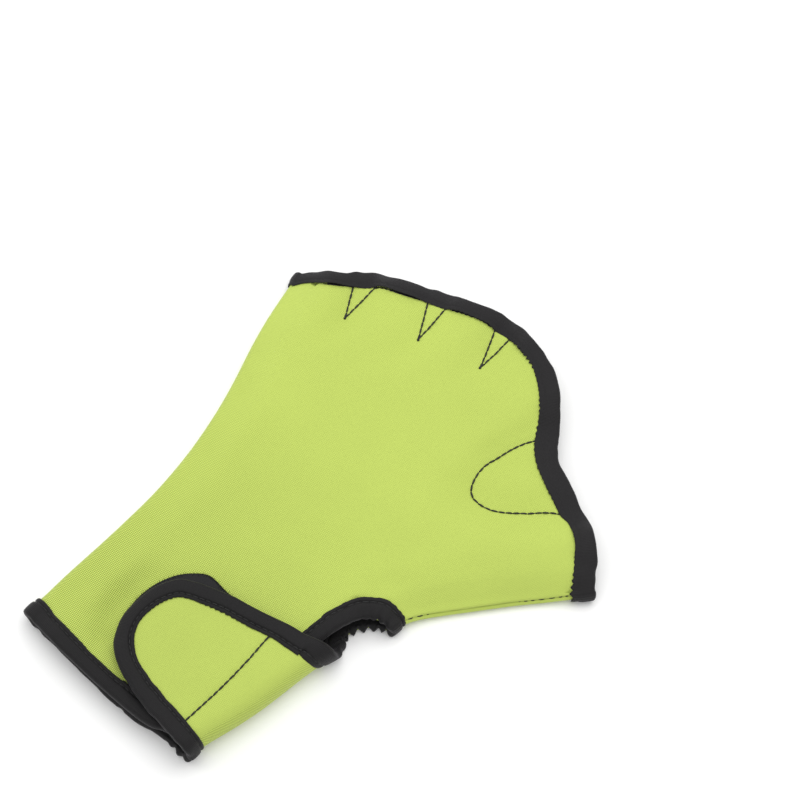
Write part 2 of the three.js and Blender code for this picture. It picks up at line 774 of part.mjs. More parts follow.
// Middle of the footprint at the origin
const footprint = new THREE.Box3().setFromObject(glove);
const middle = footprint.getCenter(new THREE.Vector3());
glove.position.set(-middle.x, -middle.y, -footprint.min.z);

export default glove;
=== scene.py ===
"""Webbed swim glove of neoprene, lying palm side down on a pale studio floor."""

import math

import bmesh
import bpy
from mathutils import Matrix, Vector, kdtree, noise
from mathutils.bvhtree import BVHTree


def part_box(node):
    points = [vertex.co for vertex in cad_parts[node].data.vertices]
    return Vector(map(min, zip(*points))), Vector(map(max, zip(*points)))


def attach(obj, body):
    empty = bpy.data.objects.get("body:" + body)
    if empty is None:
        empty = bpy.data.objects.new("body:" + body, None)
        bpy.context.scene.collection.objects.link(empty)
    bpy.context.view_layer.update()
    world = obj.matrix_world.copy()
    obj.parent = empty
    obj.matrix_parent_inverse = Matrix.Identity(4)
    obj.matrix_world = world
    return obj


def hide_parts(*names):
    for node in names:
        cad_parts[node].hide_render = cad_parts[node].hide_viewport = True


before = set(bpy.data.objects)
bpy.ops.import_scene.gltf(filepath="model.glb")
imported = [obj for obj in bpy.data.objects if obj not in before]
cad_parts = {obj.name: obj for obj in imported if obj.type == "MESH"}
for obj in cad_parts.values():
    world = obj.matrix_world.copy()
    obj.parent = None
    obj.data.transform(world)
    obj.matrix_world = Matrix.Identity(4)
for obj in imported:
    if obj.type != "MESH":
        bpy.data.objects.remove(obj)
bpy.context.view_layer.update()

bl_info = {
    "name": "Webbed swim glove",
    "version": (1, 0, 0),
    "blender": (4, 5, 0),
    "location": "3D View > Sidebar > Swim glove",
    "description": "Dresses the swim glove's frame in neoprene, binding tape, stitches and a hook patch",
    "category": "Object",
}

MM = 0.001
MERGE = 1e-6
ABOVE = 0.05
HOOK_SPREAD = 0.0013
HOOK_TUCK = 0.0032

# Stitched lines, as places in the plan in millimetres
DART_LINES = (
    ((-66.4, 82.6), (-59.7, 69.0), (-59.2, 88.0)),
    ((-38.9, 97.0), (-30.6, 80.1), (-31.1, 99.4)),
    ((-10.2, 105.2), (-3.5, 86.1), (-2.6, 105.4)),
)
WEB_LINE = (
    (33.6, 77.6), (30.1, 72.1), (28.0, 66.7), (26.2, 60.7), (24.6, 55.0), (24.4, 50.2), (25.3, 45.4),
    (26.8, 42.4), (29.2, 40.7), (33.0, 40.2), (37.4, 41.2), (41.5, 43.4), (45.9, 46.6), (50.4, 50.2),
    (53.8, 53.3), (56.5, 55.4), (61.0, 58.0),
)
HOOK_LINE = ((6.8, -56.4), (7.0, -71.6), (6.6, -82.7), (5.7, -92.3), (4.7, -102.6))
SEAM_LINE = (
    (38.6, -15.8), (40.1, -13.6), (45.4, -5.9), (53.0, 3.2), (60.9, 12.0), (69.0, 20.5), (77.3, 28.9), (84.5, 35.8),
)
SEAM_RISE = 40.0
SEAM_GROUP = "thumb_seam"
# Small creases at the little finger's fold: both ends in the plan, in millimetres
FOLD_CREASES = (
    ((-77.6, 26.6), (-70.2, 23.2)),
    ((-77.0, 21.2), (-69.6, 17.2)),
    ((-77.8, 14.0), (-73.0, 11.0)),
)

# Places where the upper layer stands higher than its frame: place in the plan, reach and height, in millimetres
LIFTS = (
    (-60.0, 74.0, 7.0, 1.9), (-63.0, 85.0, 7.0, 1.7),
    (-31.5, 84.0, 7.0, 1.9), (-35.0, 97.0, 7.0, 1.7),
    (-4.0, 90.0, 7.0, 1.9), (-6.5, 104.0, 7.0, 1.7),
    (23.0, 51.0, 8.0, 1.2), (33.0, 53.0, 11.0, 1.8), (43.0, 60.0, 10.0, 1.3), (27.0, 68.0, 8.0, 1.2),
    (-46.5, -67.0, 6.0, -1.9), (-48.0, -77.0, 6.5, -2.9), (-47.0, -87.0, 6.5, -2.9), (-42.5, -95.0, 5.5, -2.2),
)
SEAM_LIFT = (7.5, 5.0, 1.6)

# Gathered places of the binding: place in millimetres, reach, and strength of the gathers
FINGER_GATHERS = (
    (9.0, 104.4, 12.9, 8.0, 0.8),
    (24.0, 89.0, 12.0, 7.0, 0.9),
    (31.0, 80.0, 10.8, 7.0, 1.0),
    (40.0, 72.0, 9.0, 5.0, 0.35),
    (52.0, 66.5, 9.0, 7.0, 0.35),
    (72.0, 51.0, 12.0, 5.0, 0.9),
    (79.0, 44.0, 10.1, 6.0, 0.45),
    (89.0, 39.5, 6.0, 5.0, 1.2),
    (-60.0, 93.0, 10.0, 6.0, 0.3),
    (-24.1, 105.3, 12.0, 11.0, 0.3),
)
WRIST_GATHERS = (
    (-37.2, -69.1, 16.0, 8.0, 0.35),
    (-14.0, -55.0, 16.0, 8.0, 0.35),
    (37.0, -15.0, 7.0, 6.0, 0.8),
)
# Places where the tape's rim is crumpled, its inner edge staying smooth
FINGER_CRUMPLES = (
    (-36.0, 103.0, 8.8, 7.0, 0.45),
    (-66.0, 89.0, 8.7, 7.0, 0.4),
    (-8.0, 110.0, 9.0, 6.0, 0.3),
    (38.0, 79.0, 8.6, 8.0, 0.35),
    (82.0, 45.0, 8.0, 6.0, 0.6),
)
WRIST_CRUMPLES = (
    (-69.0, -110.5, 2.5, 6.0, 1.3),
    (11.0, -110.5, 12.0, 7.0, 0.7),
    (-1.0, -110.0, 3.0, 7.0, 0.6),
)
# Tape bunched into short pleats: the lower layer's under the vent, and the corner of the wrist below the strap
WRIST_PLEATS = (
    (26.9, -37.0, 3.0, 5.0, 0.9),
    (29.0, -31.0, 3.0, 5.0, 0.9),
    (31.9, -26.9, 3.0, 5.0, 0.9),
    (37.0, -22.5, 3.0, 5.0, 0.9),
    (6.0, -110.5, 2.0, 5.0, 0.8),
    (14.0, -110.5, 5.0, 5.0, 0.7),
)

# Where the tape is cut or pulled in from its frame: place, then how far the rim and the inner edge go outwards
FINGER_TRIMS = (
    (-86.5, 68.0, 3.5, 2.6, 3.4), (-84.8, 70.6, 6.5, 2.2, 4.2), (-82.0, 73.7, 7.7, 1.9, 2.4), (-78.0, 77.5, 10.0, 0.0, 0.2),
    (-72.5, 81.8, 11.2, -2.3, -0.1), (-66.5, 86.0, 9.0, -0.4, 0.1), (-60.5, 91.0, 9.0, 1.3, 0.2), (-55.0, 93.6, 10.8, -1.3, -0.2),
    (-48.5, 96.0, 11.6, -1.5, -0.6), (-42.9, 97.9, 10.2, -1.1, 0.0), (-37.0, 100.0, 8.5, 0.6, 0.0),
    (-31.0, 102.1, 9.8, -0.6, 0.1), (-25.0, 104.0, 12.2, -1.4, 0.2), (-16.5, 106.4, 12.1, -1.2, 0.2),
    (-9.0, 107.6, 9.3, 0.1, -0.5), (-2.6, 107.5, 9.8, -0.1, 0.3), (4.0, 106.3, 12.3, -0.7, 0.5), (12.0, 103.4, 12.9, -0.5, 0.8),
    (19.6, 98.8, 12.9, 0.3, 0.4), (25.9, 92.6, 12.8, 0.7, 0.5), (30.6, 85.7, 10.4, 1.4, 0.8), (34.5, 79.5, 8.5, 1.4, 0.4),
    (38.2, 75.2, 8.4, 0.9, -0.2), (43.0, 71.0, 8.4, 0.3, -0.4), (51.0, 66.8, 8.4, 0.6, -0.6), (56.8, 63.7, 8.4, 0.7, -0.5),
    (61.5, 61.0, 8.3, 0.2, -0.5), (68.0, 57.3, 10.1, 0.9, 0.9), (74.5, 52.2, 12.7, 0.6, 1.0), (79.0, 47.4, 10.2, 0.9, 0.2),
    (82.2, 43.0, 7.6, 0.2, 0.0), (84.4, 39.4, 6.1, 1.3, 0.5),
)
WRIST_TRIMS = (
    (-71.4, -103.3, 7.9, -0.2, 0.0), (-60.0, -105.0, 10.3, -0.2, 0.6), (-50.0, -106.0, 10.5, 0.0, 0.9),
    (-40.0, -106.8, 10.5, 0.0, 1.3), (-30.0, -107.3, 10.5, 0.0, 1.4), (-18.0, -107.8, 10.5, 0.0, 0.8),
    (-69.3, -103.4, 1.7, -1.0, 0.0), (-60.0, -104.0, 1.7, -0.3, 0.0), (-50.0, -104.7, 1.7, 0.1, 0.0),
    (-38.0, -105.6, 1.7, 0.4, 0.0), (-27.0, -106.1, 1.7, 0.8, 0.0), (-14.0, -106.5, 1.7, 0.9, 0.0), (-7.8, -106.4, 1.7, 0.1, 0.0),
    (-3.4, -106.5, 1.7, -1.0, 0.0), (1.0, -106.7, 1.7, -1.8, 0.0), (5.4, -107.0, 1.7, -1.0, 0.0), (9.7, -107.0, 1.9, -0.7, 0.0),
    (13.0, -107.6, 6.5, -1.3, 0.0), (11.9, -107.6, 13.2, -0.4, -0.2), (6.0, -107.0, 14.9, -0.9, -0.5), (-0.7, -106.1, 14.9, -1.0, -0.7),
    (-9.2, -104.0, 14.8, 0.0, 0.0), (-17.7, -101.6, 14.7, 0.0, 0.7), (-25.8, -98.2, 14.6, 0.6, 1.2), (-32.9, -93.1, 14.4, 0.7, 1.2),
    (-37.0, -87.0, 14.3, 0.0, 1.0), (-38.0, -79.0, 14.3, -0.3, 1.0), (-35.5, -70.0, 14.3, 0.1, 1.1), (-29.0, -62.5, 14.3, 0.2, 0.9),
    (-18.0, -58.4, 14.3, 0.0, 0.6), (-7.9, -56.3, 14.3, 0.2, 0.7), (2.0, -54.4, 14.3, 0.2, 0.6), (8.0, -53.0, 14.3, 0.2, 0.6), (13.5, -51.5, 14.3, 0.0, -0.6),
    (17.8, -50.6, 14.3, -1.3, -1.4), (21.9, -48.8, 14.6, 0.0, -2.8), (25.8, -48.0, 13.0, 0.0, -3.3), (28.0, -46.8, 9.5, -0.9, -3.0),
    (28.3, -45.0, 5.5, -2.4, -2.4), (26.7, -42.5, 2.4, 1.8, -0.8), (16.8, -48.0, 10.0, 0.0, 1.9),
    (18.3, -41.9, 10.3, 0.0, 1.0), (22.0, -29.2, 10.5, 0.0, 0.4), (28.6, -20.3, 8.3, 0.0, -0.3), (34.0, -18.5, 7.0, -0.5, -1.0),
    (39.0, -18.8, 3.6, -0.9, 0.0),
    (24.4, -39.0, 1.7, 0.8, -1.2), (23.3, -34.0, 1.7, -0.4, -1.2), (25.9, -26.8, 1.7, -1.2, -0.8), (31.0, -21.8, 1.7, -1.4, -0.4),
    (36.1, -18.9, 1.7, -1.2, 0.0),
)
TRIM_REACH = 4.0

# Section of the tape from its inner edge to the rim: share of the width, and height over the middle in millimetres
TAPE_PROFILE = (
    (0.00, 0.92), (-0.015, 1.10), (0.00, 1.26), (0.05, 1.40), (0.11, 1.47), (0.16, 1.51), (0.20, 1.56), (0.235, 1.60),
    (0.27, 1.66), (0.31, 1.72), (0.37, 1.80), (0.46, 1.88), (0.58, 1.92), (0.70, 1.92), (0.81, 1.88), (0.91, 1.78),
)
STITCH_SHARE = 0.235
TAPE_LINING = 0.78
RIM_STEPS = 7
TAPE_RING = 10
LONG_SIDES = (0, 2, 4, 8)


class GloveNeopreneSettings(bpy.types.PropertyGroup):
    colour: bpy.props.FloatVectorProperty(
        name="Colour", description="Colour of the neoprene's knitted face", subtype="COLOR", size=3,
        min=0.0, max=1.0, default=(0.452, 0.556, 0.111))
    smoothing: bpy.props.IntProperty(
        name="Smoothing", description="Subdivision levels of the neoprene sheet", min=1, max=3, default=2)
    loop_pitch: bpy.props.FloatProperty(
        name="Loop pitch", description="Distance between the loops of the knit", unit="LENGTH", default=0.001)
    stitch_sink: bpy.props.FloatProperty(
        name="Stitch sink", description="How far a stitched line is drawn into the neoprene", unit="LENGTH",
        default=0.0006)
    unevenness: bpy.props.FloatProperty(
        name="Unevenness", description="Height of the slow waves of the sheet", unit="LENGTH", default=0.00025)


class GloveTapeSettings(bpy.types.PropertyGroup):
    colour: bpy.props.FloatVectorProperty(
        name="Colour", description="Colour of the binding tape", subtype="COLOR", size=3,
        min=0.0, max=1.0, default=(0.0098, 0.0090, 0.0098))
    step: bpy.props.FloatProperty(
        name="Step", description="Distance between sections along the tape", unit="LENGTH", default=0.00055)
    gather_pitch: bpy.props.FloatProperty(
        name="Gather pitch", description="Distance between gathers along the tape", unit="LENGTH", default=0.0023)
    gather_depth: bpy.props.FloatProperty(
        name="Gather depth", description="Depth of the gathers at the tape's edge", unit="LENGTH", default=0.0007)
    pleat_pitch: bpy.props.FloatProperty(
        name="Pleat pitch", description="Distance between the pleats under the vent", unit="LENGTH", default=0.0046)
    pleat_depth: bpy.props.FloatProperty(
        name="Pleat depth", description="Depth of the pleats under the vent", unit="LENGTH", default=0.0008)
    finger_groove: bpy.props.FloatProperty(
        name="Finger groove", description="Depth of the stitched groove in the finger tape", unit="LENGTH", default=0.0002)
    wrist_groove: bpy.props.FloatProperty(
        name="Wrist groove", description="Depth of the stitched groove in the wrist tape", unit="LENGTH", default=0.0006)


class GloveThreadSettings(bpy.types.PropertyGroup):
    colour: bpy.props.FloatVectorProperty(
        name="Colour", description="Colour of the sewing thread", subtype="COLOR", size=3,
        min=0.0, max=1.0, default=(0.004, 0.004, 0.004))
    thickness: bpy.props.FloatProperty(
        name="Thickness", description="Thickness of the thread", unit="LENGTH", default=0.0007)
    stitch: bpy.props.FloatProperty(
        name="Stitch", description="Length of one stitch and its gap", unit="LENGTH", default=0.0029)


class GloveStageSettings(bpy.types.PropertyGroup):
    floor_colour: bpy.props.FloatVectorProperty(
        name="Floor", description="Colour of the floor", subtype="COLOR", size=3,
        min=0.0, max=1.0, default=(0.95, 0.95, 0.945))
    lens: bpy.props.FloatProperty(
        name="Lens", description="Focal length of the camera in millimetres", min=10.0, default=125.94)
    key_power: bpy.props.FloatProperty(
        name="Key light", description="Power of the large soft light in watts", min=0.0, default=5.4)
    side_power: bpy.props.FloatProperty(
        name="Side light", description="Power of the soft light at the little finger's side in watts", min=0.0, default=1.35)
    fill: bpy.props.FloatProperty(
        name="Fill", description="Strength of the light from all round", min=0.0, default=0.83)


# ---------------------------------------------------------------- shader helpers

def add_group(name, inputs, outputs):
    """An empty shader node group with those sockets, and its input and output nodes."""
    tree = bpy.data.node_groups.new(name, "ShaderNodeTree")
    for label, kind, default in inputs:
        socket = tree.interface.new_socket(label, in_out="INPUT", socket_type=kind)
        if default is not None:
            socket.default_value = default
    for label, kind in outputs:
        tree.interface.new_socket(label, in_out="OUTPUT", socket_type=kind)
    return tree, tree.nodes.new("NodeGroupInput"), tree.nodes.new("NodeGroupOutput")


def feed(tree, socket, value):
    """Links a socket into another, or sets its value."""
    if isinstance(value, bpy.types.NodeSocket):
        tree.links.new(value, socket)
    else:
        socket.default_value = value


def calculate(tree, operation, *values):
    """One Math node's result."""
    node = tree.nodes.new("ShaderNodeMath")
    node.operation = operation
    for socket, value in zip(node.inputs, values):
        feed(tree, socket, value)
    return node.outputs[0]


def noise_value(tree, vector, scale, detail=2.0, roughness=0.5):
    """A Noise texture's value at a place."""
    node = tree.nodes.new("ShaderNodeTexNoise")
    feed(tree, node.inputs["Vector"], vector)
    feed(tree, node.inputs["Scale"], scale)
    node.inputs["Detail"].default_value = detail
    node.inputs["Roughness"].default_value = roughness
    return node.outputs["Fac"]


def remap(tree, value, low, high, to_low, to_high):
    """A value moved from one range to another, and kept inside it."""
    node = tree.nodes.new("ShaderNodeMapRange")
    for label, number in (("Value", value), ("From Min", low), ("From Max", high), ("To Min", to_low), ("To Max", to_high)):
        feed(tree, node.inputs[label], number)
    return node.outputs["Result"]


def shaded_colour(tree, colour, shade):
    """A colour times a value that changes over the surface."""
    node = tree.nodes.new("ShaderNodeVectorMath")
    node.operation = "SCALE"
    feed(tree, node.inputs[0], colour)
    feed(tree, node.inputs["Scale"], shade)
    return node.outputs[0]


def knit_group():
    """Rows of knitted loops: their height, and patches where they show more."""
    tree, given, result = add_group(
        "Knitted loops",
        (("Vector", "NodeSocketVector", None), ("Pitch", "NodeSocketFloat", 0.001), ("Slant", "NodeSocketFloat", 0.0)),
        (("Loops", "NodeSocketFloat"), ("Patches", "NodeSocketFloat")))
    turn = tree.nodes.new("ShaderNodeVectorRotate")
    turn.rotation_type = "Z_AXIS"
    tree.links.new(given.outputs["Vector"], turn.inputs["Vector"])
    tree.links.new(given.outputs["Slant"], turn.inputs["Angle"])
    place = tree.nodes.new("ShaderNodeSeparateXYZ")
    tree.links.new(turn.outputs[0], place.inputs[0])
    rate = calculate(tree, "DIVIDE", 2 * math.pi, given.outputs["Pitch"])
    column = calculate(tree, "SINE", calculate(tree, "MULTIPLY", place.outputs["X"], rate))
    row = calculate(tree, "SINE", calculate(tree, "MULTIPLY", place.outputs["Y"], rate))
    loops = calculate(tree, "MULTIPLY_ADD", calculate(tree, "MULTIPLY", column, row), 0.5, 0.5)
    patches = remap(tree, noise_value(tree, given.outputs["Vector"], 42.0), 0.35, 0.7, 0.0, 1.0)
    tree.links.new(loops, result.inputs["Loops"])
    tree.links.new(patches, result.inputs["Patches"])
    return tree


def fibre_group():
    """Short fibres and lint on cloth: a shade near 1, and a fine height."""
    tree, given, result = add_group(
        "Cloth fibres",
        (("Vector", "NodeSocketVector", None), ("Fineness", "NodeSocketFloat", 2500.0), ("Depth", "NodeSocketFloat", 0.1)),
        (("Shade", "NodeSocketFloat"), ("Height", "NodeSocketFloat")))
    fine = noise_value(tree, given.outputs["Vector"], given.outputs["Fineness"], detail=3.0, roughness=0.6)
    slow = noise_value(tree, given.outputs["Vector"], 30.0, detail=3.0)
    both = calculate(tree, "ADD", calculate(tree, "SUBTRACT", fine, 0.5), calculate(tree, "SUBTRACT", slow, 0.5))
    shade = calculate(tree, "MULTIPLY_ADD", both, given.outputs["Depth"], 1.0)
    tree.links.new(shade, result.inputs["Shade"])
    tree.links.new(fine, result.inputs["Height"])
    return tree


def shared_group(name, build):
    """A node group that is built the first time it is asked for."""
    return bpy.data.node_groups.get(name) or build()


def add_material(name, roughness):
    """A material with a Principled BSDF: the material, its tree and the shader node."""
    material = bpy.data.materials.new(name)
    material.use_nodes = True
    tree = material.node_tree
    shader = tree.nodes["Principled BSDF"]
    shader.inputs["Roughness"].default_value = roughness
    return material, tree, shader


def place_group(tree, group, **values):
    """A node group placed in a material with its own values."""
    node = tree.nodes.new("ShaderNodeGroup")
    node.node_tree = group
    for label, value in values.items():
        feed(tree, node.inputs[label], value)
    return node


def add_bump(tree, shader, height, distance, strength=1.0):
    """Relief from a height."""
    bump = tree.nodes.new("ShaderNodeBump")
    bump.inputs["Distance"].default_value = distance
    bump.inputs["Strength"].default_value = strength
    tree.links.new(height, bump.inputs["Height"])
    tree.links.new(bump.outputs["Normal"], shader.inputs["Normal"])


def neoprene_material(settings):
    """Lime jersey over foam: fine loops, soft patches, a short nap, and painted shade towards the wrist."""
    material, tree, shader = add_material("Neoprene jersey", 0.88)
    where = tree.nodes.new("ShaderNodeTexCoord").outputs["Object"]
    run = tree.nodes.new("ShaderNodeUVMap")
    run.uv_map = "KnitRun"
    knit = place_group(
        tree, shared_group("Knitted loops", knit_group), Vector=run.outputs["UV"], Pitch=settings.loop_pitch, Slant=0.62)
    nap = place_group(tree, shared_group("Cloth fibres", fibre_group), Vector=where, Fineness=2600.0, Depth=0.10)
    place = tree.nodes.new("ShaderNodeSeparateXYZ")
    tree.links.new(where, place.inputs[0])
    arm = calculate(tree, "MULTIPLY_ADD", place.outputs["X"], 0.45, place.outputs["Y"])
    low = calculate(tree, "LESS_THAN", place.outputs["Z"], 0.0133)
    wrist = remap(tree, arm, 0.005, -0.1, 0.0, 1.0)
    # The low wrist area below the strap tab: the knit shows stronger there, and this area also gets painted shade.
    stretch_and_shade = calculate(tree, "MULTIPLY", wrist, low)
    contrast = calculate(tree, "MULTIPLY_ADD", knit.outputs["Patches"], 0.22, 0.1)
    contrast = calculate(tree, "MULTIPLY_ADD", stretch_and_shade, 1.2, contrast)
    loops = calculate(tree, "MULTIPLY", calculate(tree, "SUBTRACT", knit.outputs["Loops"], 0.5), contrast)
    shade = calculate(tree, "ADD", loops, nap.outputs["Shade"])
    # Painted shade: the low wrist area is darkened to 0.93, and the whole wrist end with the strap tab by a further
    # 0.945.
    shade = calculate(tree, "MULTIPLY", shade, remap(tree, stretch_and_shade, 0.0, 1.0, 1.0, 0.93))
    shade = calculate(tree, "MULTIPLY", shade, remap(tree, wrist, 0.0, 1.0, 1.0, 0.945))
    tree.links.new(shaded_colour(tree, tuple(settings.colour), shade), shader.inputs["Base Color"])
    height = calculate(tree, "ADD", knit.outputs["Loops"], nap.outputs["Height"])
    add_bump(tree, shader, height, 0.00012)
    shader.inputs["Specular IOR Level"].default_value = 0.25
    shader.inputs["Sheen Weight"].default_value = 0.3
    shader.inputs["Sheen Roughness"].default_value = 0.3
    shader.inputs["Sheen Tint"].default_value = (0.95, 1.0, 0.7, 1.0)
    return material


def tape_material(settings):
    """Charcoal stretch tape: fine cross ribs that follow the tape, lighter rims from its sheen, and painted shade
    towards the wrist.
    """
    material, tree, shader = add_material("Binding tape", 0.62)
    where = tree.nodes.new("ShaderNodeTexCoord").outputs["Object"]
    run = tree.nodes.new("ShaderNodeUVMap")
    run.uv_map = "TapeRun"
    place = tree.nodes.new("ShaderNodeSeparateXYZ")
    tree.links.new(run.outputs["UV"], place.inputs[0])
    ribs = calculate(tree, "SINE", calculate(tree, "MULTIPLY", place.outputs["X"], 2 * math.pi / 0.55))
    wales = calculate(tree, "SINE", calculate(tree, "MULTIPLY", place.outputs["Y"], 2 * math.pi / 0.5))
    weave = calculate(tree, "MULTIPLY_ADD", ribs, 0.5, calculate(tree, "MULTIPLY", wales, 0.25))
    nap = place_group(tree, shared_group("Cloth fibres", fibre_group), Vector=where, Fineness=2200.0, Depth=0.45)
    shade = calculate(tree, "MULTIPLY_ADD", weave, 0.08, nap.outputs["Shade"])
    spot = tree.nodes.new("ShaderNodeSeparateXYZ")
    tree.links.new(where, spot.inputs[0])
    # Painted shade: the tape darkens from y 30 mm to y -30 mm, down to 0.6 of its colour over the wrist end.
    shade = calculate(tree, "MULTIPLY", shade, remap(tree, spot.outputs["Y"], 0.03, -0.03, 1.0, 0.6))
    tree.links.new(shaded_colour(tree, tuple(settings.colour), shade), shader.inputs["Base Color"])
    add_bump(tree, shader, calculate(tree, "ADD", weave, nap.outputs["Height"]), 0.00008)
    shader.inputs["Specular IOR Level"].default_value = 0.25
    shader.inputs["Sheen Weight"].default_value = 0.1
    shader.inputs["Sheen Roughness"].default_value = 0.35
    shader.inputs["Sheen Tint"].default_value = (0.82, 0.78, 0.86, 1.0)
    return material


def thread_material(settings):
    """Black twisted thread, one for all the stitches."""
    if "Sewing thread" in bpy.data.materials:
        return bpy.data.materials["Sewing thread"]
    material, tree, shader = add_material("Sewing thread", 0.6)
    where = tree.nodes.new("ShaderNodeTexCoord").outputs["Object"]
    nap = place_group(tree, shared_group("Cloth fibres", fibre_group), Vector=where, Fineness=3500.0, Depth=0.6)
    tree.links.new(shaded_colour(tree, tuple(settings.colour), nap.outputs["Shade"]), shader.inputs["Base Color"])
    add_bump(tree, shader, nap.outputs["Height"], 0.0001)
    return material


def hook_material():
    """Black hook tape: a dull ground under stiff, slightly glossy hooks."""
    material, tree, shader = add_material("Hook tape", 0.55)
    where = tree.nodes.new("ShaderNodeTexCoord").outputs["Object"]
    nap = place_group(tree, shared_group("Cloth fibres", fibre_group), Vector=where, Fineness=1800.0, Depth=0.8)
    tree.links.new(shaded_colour(tree, (0.006, 0.006, 0.007), nap.outputs["Shade"]), shader.inputs["Base Color"])
    add_bump(tree, shader, nap.outputs["Height"], 0.0002)
    shader.inputs["Specular IOR Level"].default_value = 0.25
    return material


def floor_material(colour):
    """Matt pale floor."""
    material, tree, shader = add_material("Studio floor", 0.9)
    where = tree.nodes.new("ShaderNodeTexCoord").outputs["Object"]
    shade = remap(tree, noise_value(tree, where, 3.0), 0.0, 1.0, 0.99, 1.0)
    tree.links.new(shaded_colour(tree, tuple(colour), shade), shader.inputs["Base Color"])
    return material


# ---------------------------------------------------------------- mesh helpers

def bell(distance, reach):
    """1 at no distance, fading to 0 over a few reaches."""
    return math.exp(-((distance / reach) ** 2))


def ease(share):
    """0 up to a share of 0, 1 from a share of 1, and smooth in between."""
    share = min(1.0, max(0.0, share))
    return share * share * (3 - 2 * share)


def wave_noise(value, seed):
    """Smooth noise along one length, from -1 to 1."""
    return noise.noise(Vector((value, seed * 7.31, seed * 3.17)))


def segment_distance(point, start, end):
    """Distance in the plan from a point to a segment, and the length along the segment."""
    run = (end[0] - start[0], end[1] - start[1])
    length = math.hypot(*run)
    share = ((point[0] - start[0]) * run[0] + (point[1] - start[1]) * run[1]) / length ** 2
    share = min(1.0, max(0.0, share))
    gap = math.hypot(point[0] - start[0] - share * run[0], point[1] - start[1] - share * run[1])
    return gap, share * length


def line_distance(point, line):
    """Distance in the plan from a point to a line of places, and the length along the line."""
    best, travelled = (math.inf, 0.0), 0.0
    for start, end in zip(line, line[1:]):
        gap, along = segment_distance(point, start, end)
        if gap < best[0]:
            best = (gap, travelled + along)
        travelled += math.dist(start, end)
    return best


def add_piece(name, mesh, material):
    """A finished piece: linked, riding on the glove, with its material."""
    piece = bpy.data.objects.new(name, mesh)
    bpy.context.scene.collection.objects.link(piece)
    piece.data.materials.append(material)
    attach(piece, "root")
    return piece


def frame_copy(node):
    """A merged copy of a frame node's mesh, its triangles joined into the squares they came from."""
    copy = bmesh.new()
    copy.from_mesh(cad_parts[node].data)
    bmesh.ops.remove_doubles(copy, verts=copy.verts, dist=MERGE)
    bmesh.ops.join_triangles(
        copy, faces=copy.faces, angle_face_threshold=math.pi, angle_shape_threshold=math.pi, topology_influence=2.0)
    return copy


def mesh_from(name, built):
    """A smooth-shaded mesh from a bmesh, which is freed."""
    mesh = bpy.data.meshes.new(name)
    built.to_mesh(mesh)
    built.free()
    mesh.shade_smooth()
    return mesh


def smooth_piece(piece, levels):
    """Applies a subdivision surface to a piece."""
    modifier = piece.modifiers.new("Smooth", "SUBSURF")
    modifier.levels = levels
    modifier.render_levels = levels
    bpy.ops.object.select_all(action="DESELECT")
    piece.select_set(True)
    bpy.context.view_layer.objects.active = piece
    bpy.ops.object.modifier_apply(modifier=modifier.name)


def surface_of(pieces):
    """One tree of the faces of several pieces, for finding the surface under a place."""
    joined = bmesh.new()
    for piece in pieces:
        joined.from_mesh(piece.data)
    tree = BVHTree.FromBMesh(joined)
    joined.free()
    return tree


# ---------------------------------------------------------------- neoprene

def lift_at(point):
    """How far the upper layer is raised at a point, in metres: nothing on the lower layer."""
    x, y, z = (value / MM for value in point)
    raised = sum(height * bell(math.hypot(x - px, y - py), reach) for px, py, reach, height in LIFTS)
    away, reach, height = SEAM_LIFT
    raised += height * bell(line_distance((x, y), SEAM_LINE)[0] - away, reach)
    return raised * ease((z - 3.6) / 3.2) * MM


def rise_at(point, waves):
    """How far a point of the upper layer is raised, with the sheet's slow waves of that height."""
    slow = noise.noise(point * 55.0) + 0.5 * noise.noise(point * 130.0)
    return waves * slow * ease((point.z / MM - 3.6) / 3.2) + lift_at(point)


def sink_at(place, top):
    """How far stitched lines and creases draw the sheet in at a place in the plan, as a share."""
    if not top:
        return 0.0
    sink = 0.0
    for line in DART_LINES + (WEB_LINE, HOOK_LINE):
        gap, along = line_distance(place, line)
        if gap < 6.0:
            sink += 0.9 * bell(gap, 0.8) + 0.12 * bell(gap, 2.4) * (0.7 + 0.5 * wave_noise(along / 3.0, 2.0))
    for start, end in FOLD_CREASES:
        gap, along = segment_distance(place, start, end)
        if gap < 4.0:
            sink += 0.55 * bell(gap, 0.9)
    return sink


def dress_sheet(mesh, settings):
    """Works the sheet's vertices: waves, stitched lines, creases and the thumb seam's groove, whose vertices it returns."""
    tree = BVHTree.FromPolygons([v.co[:] for v in mesh.vertices], [p.vertices[:] for p in mesh.polygons])
    normals = [v.normal.copy() for v in mesh.vertices]
    moves, groove = [], []
    for vertex, normal in zip(mesh.vertices, normals):
        place = (vertex.co.x / MM, vertex.co.y / MM)
        over = tree.ray_cast(vertex.co + Vector((0, 0, ABOVE)), Vector((0, 0, -1)))[0]
        top = normal.z > 0.2 and over is not None and over.z - vertex.co.z < 0.0004
        move = Vector((0, 0, rise_at(vertex.co, settings.unevenness)))
        move -= normal * settings.stitch_sink * sink_at(place, top)
        gap, along = line_distance(place, SEAM_LINE)
        if gap < 5.0 and 0.1 < normal.z < 0.98:
            rise = math.degrees(math.asin(normal.z))
            open_share = bell(rise - SEAM_RISE, 11.0) - 0.3 * bell(rise - SEAM_RISE - 22.0, 11.0)
            move -= normal * 0.0008 * open_share * (1.0 + 0.3 * wave_noise(along / 2.5, 5.0))
            if abs(rise - SEAM_RISE) < 4.0:
                groove.append(vertex.index)
        moves.append(move)
    for vertex, move in zip(mesh.vertices, moves):
        vertex.co += move
        vertex.co.z = max(vertex.co.z, 0.00001)
    return groove


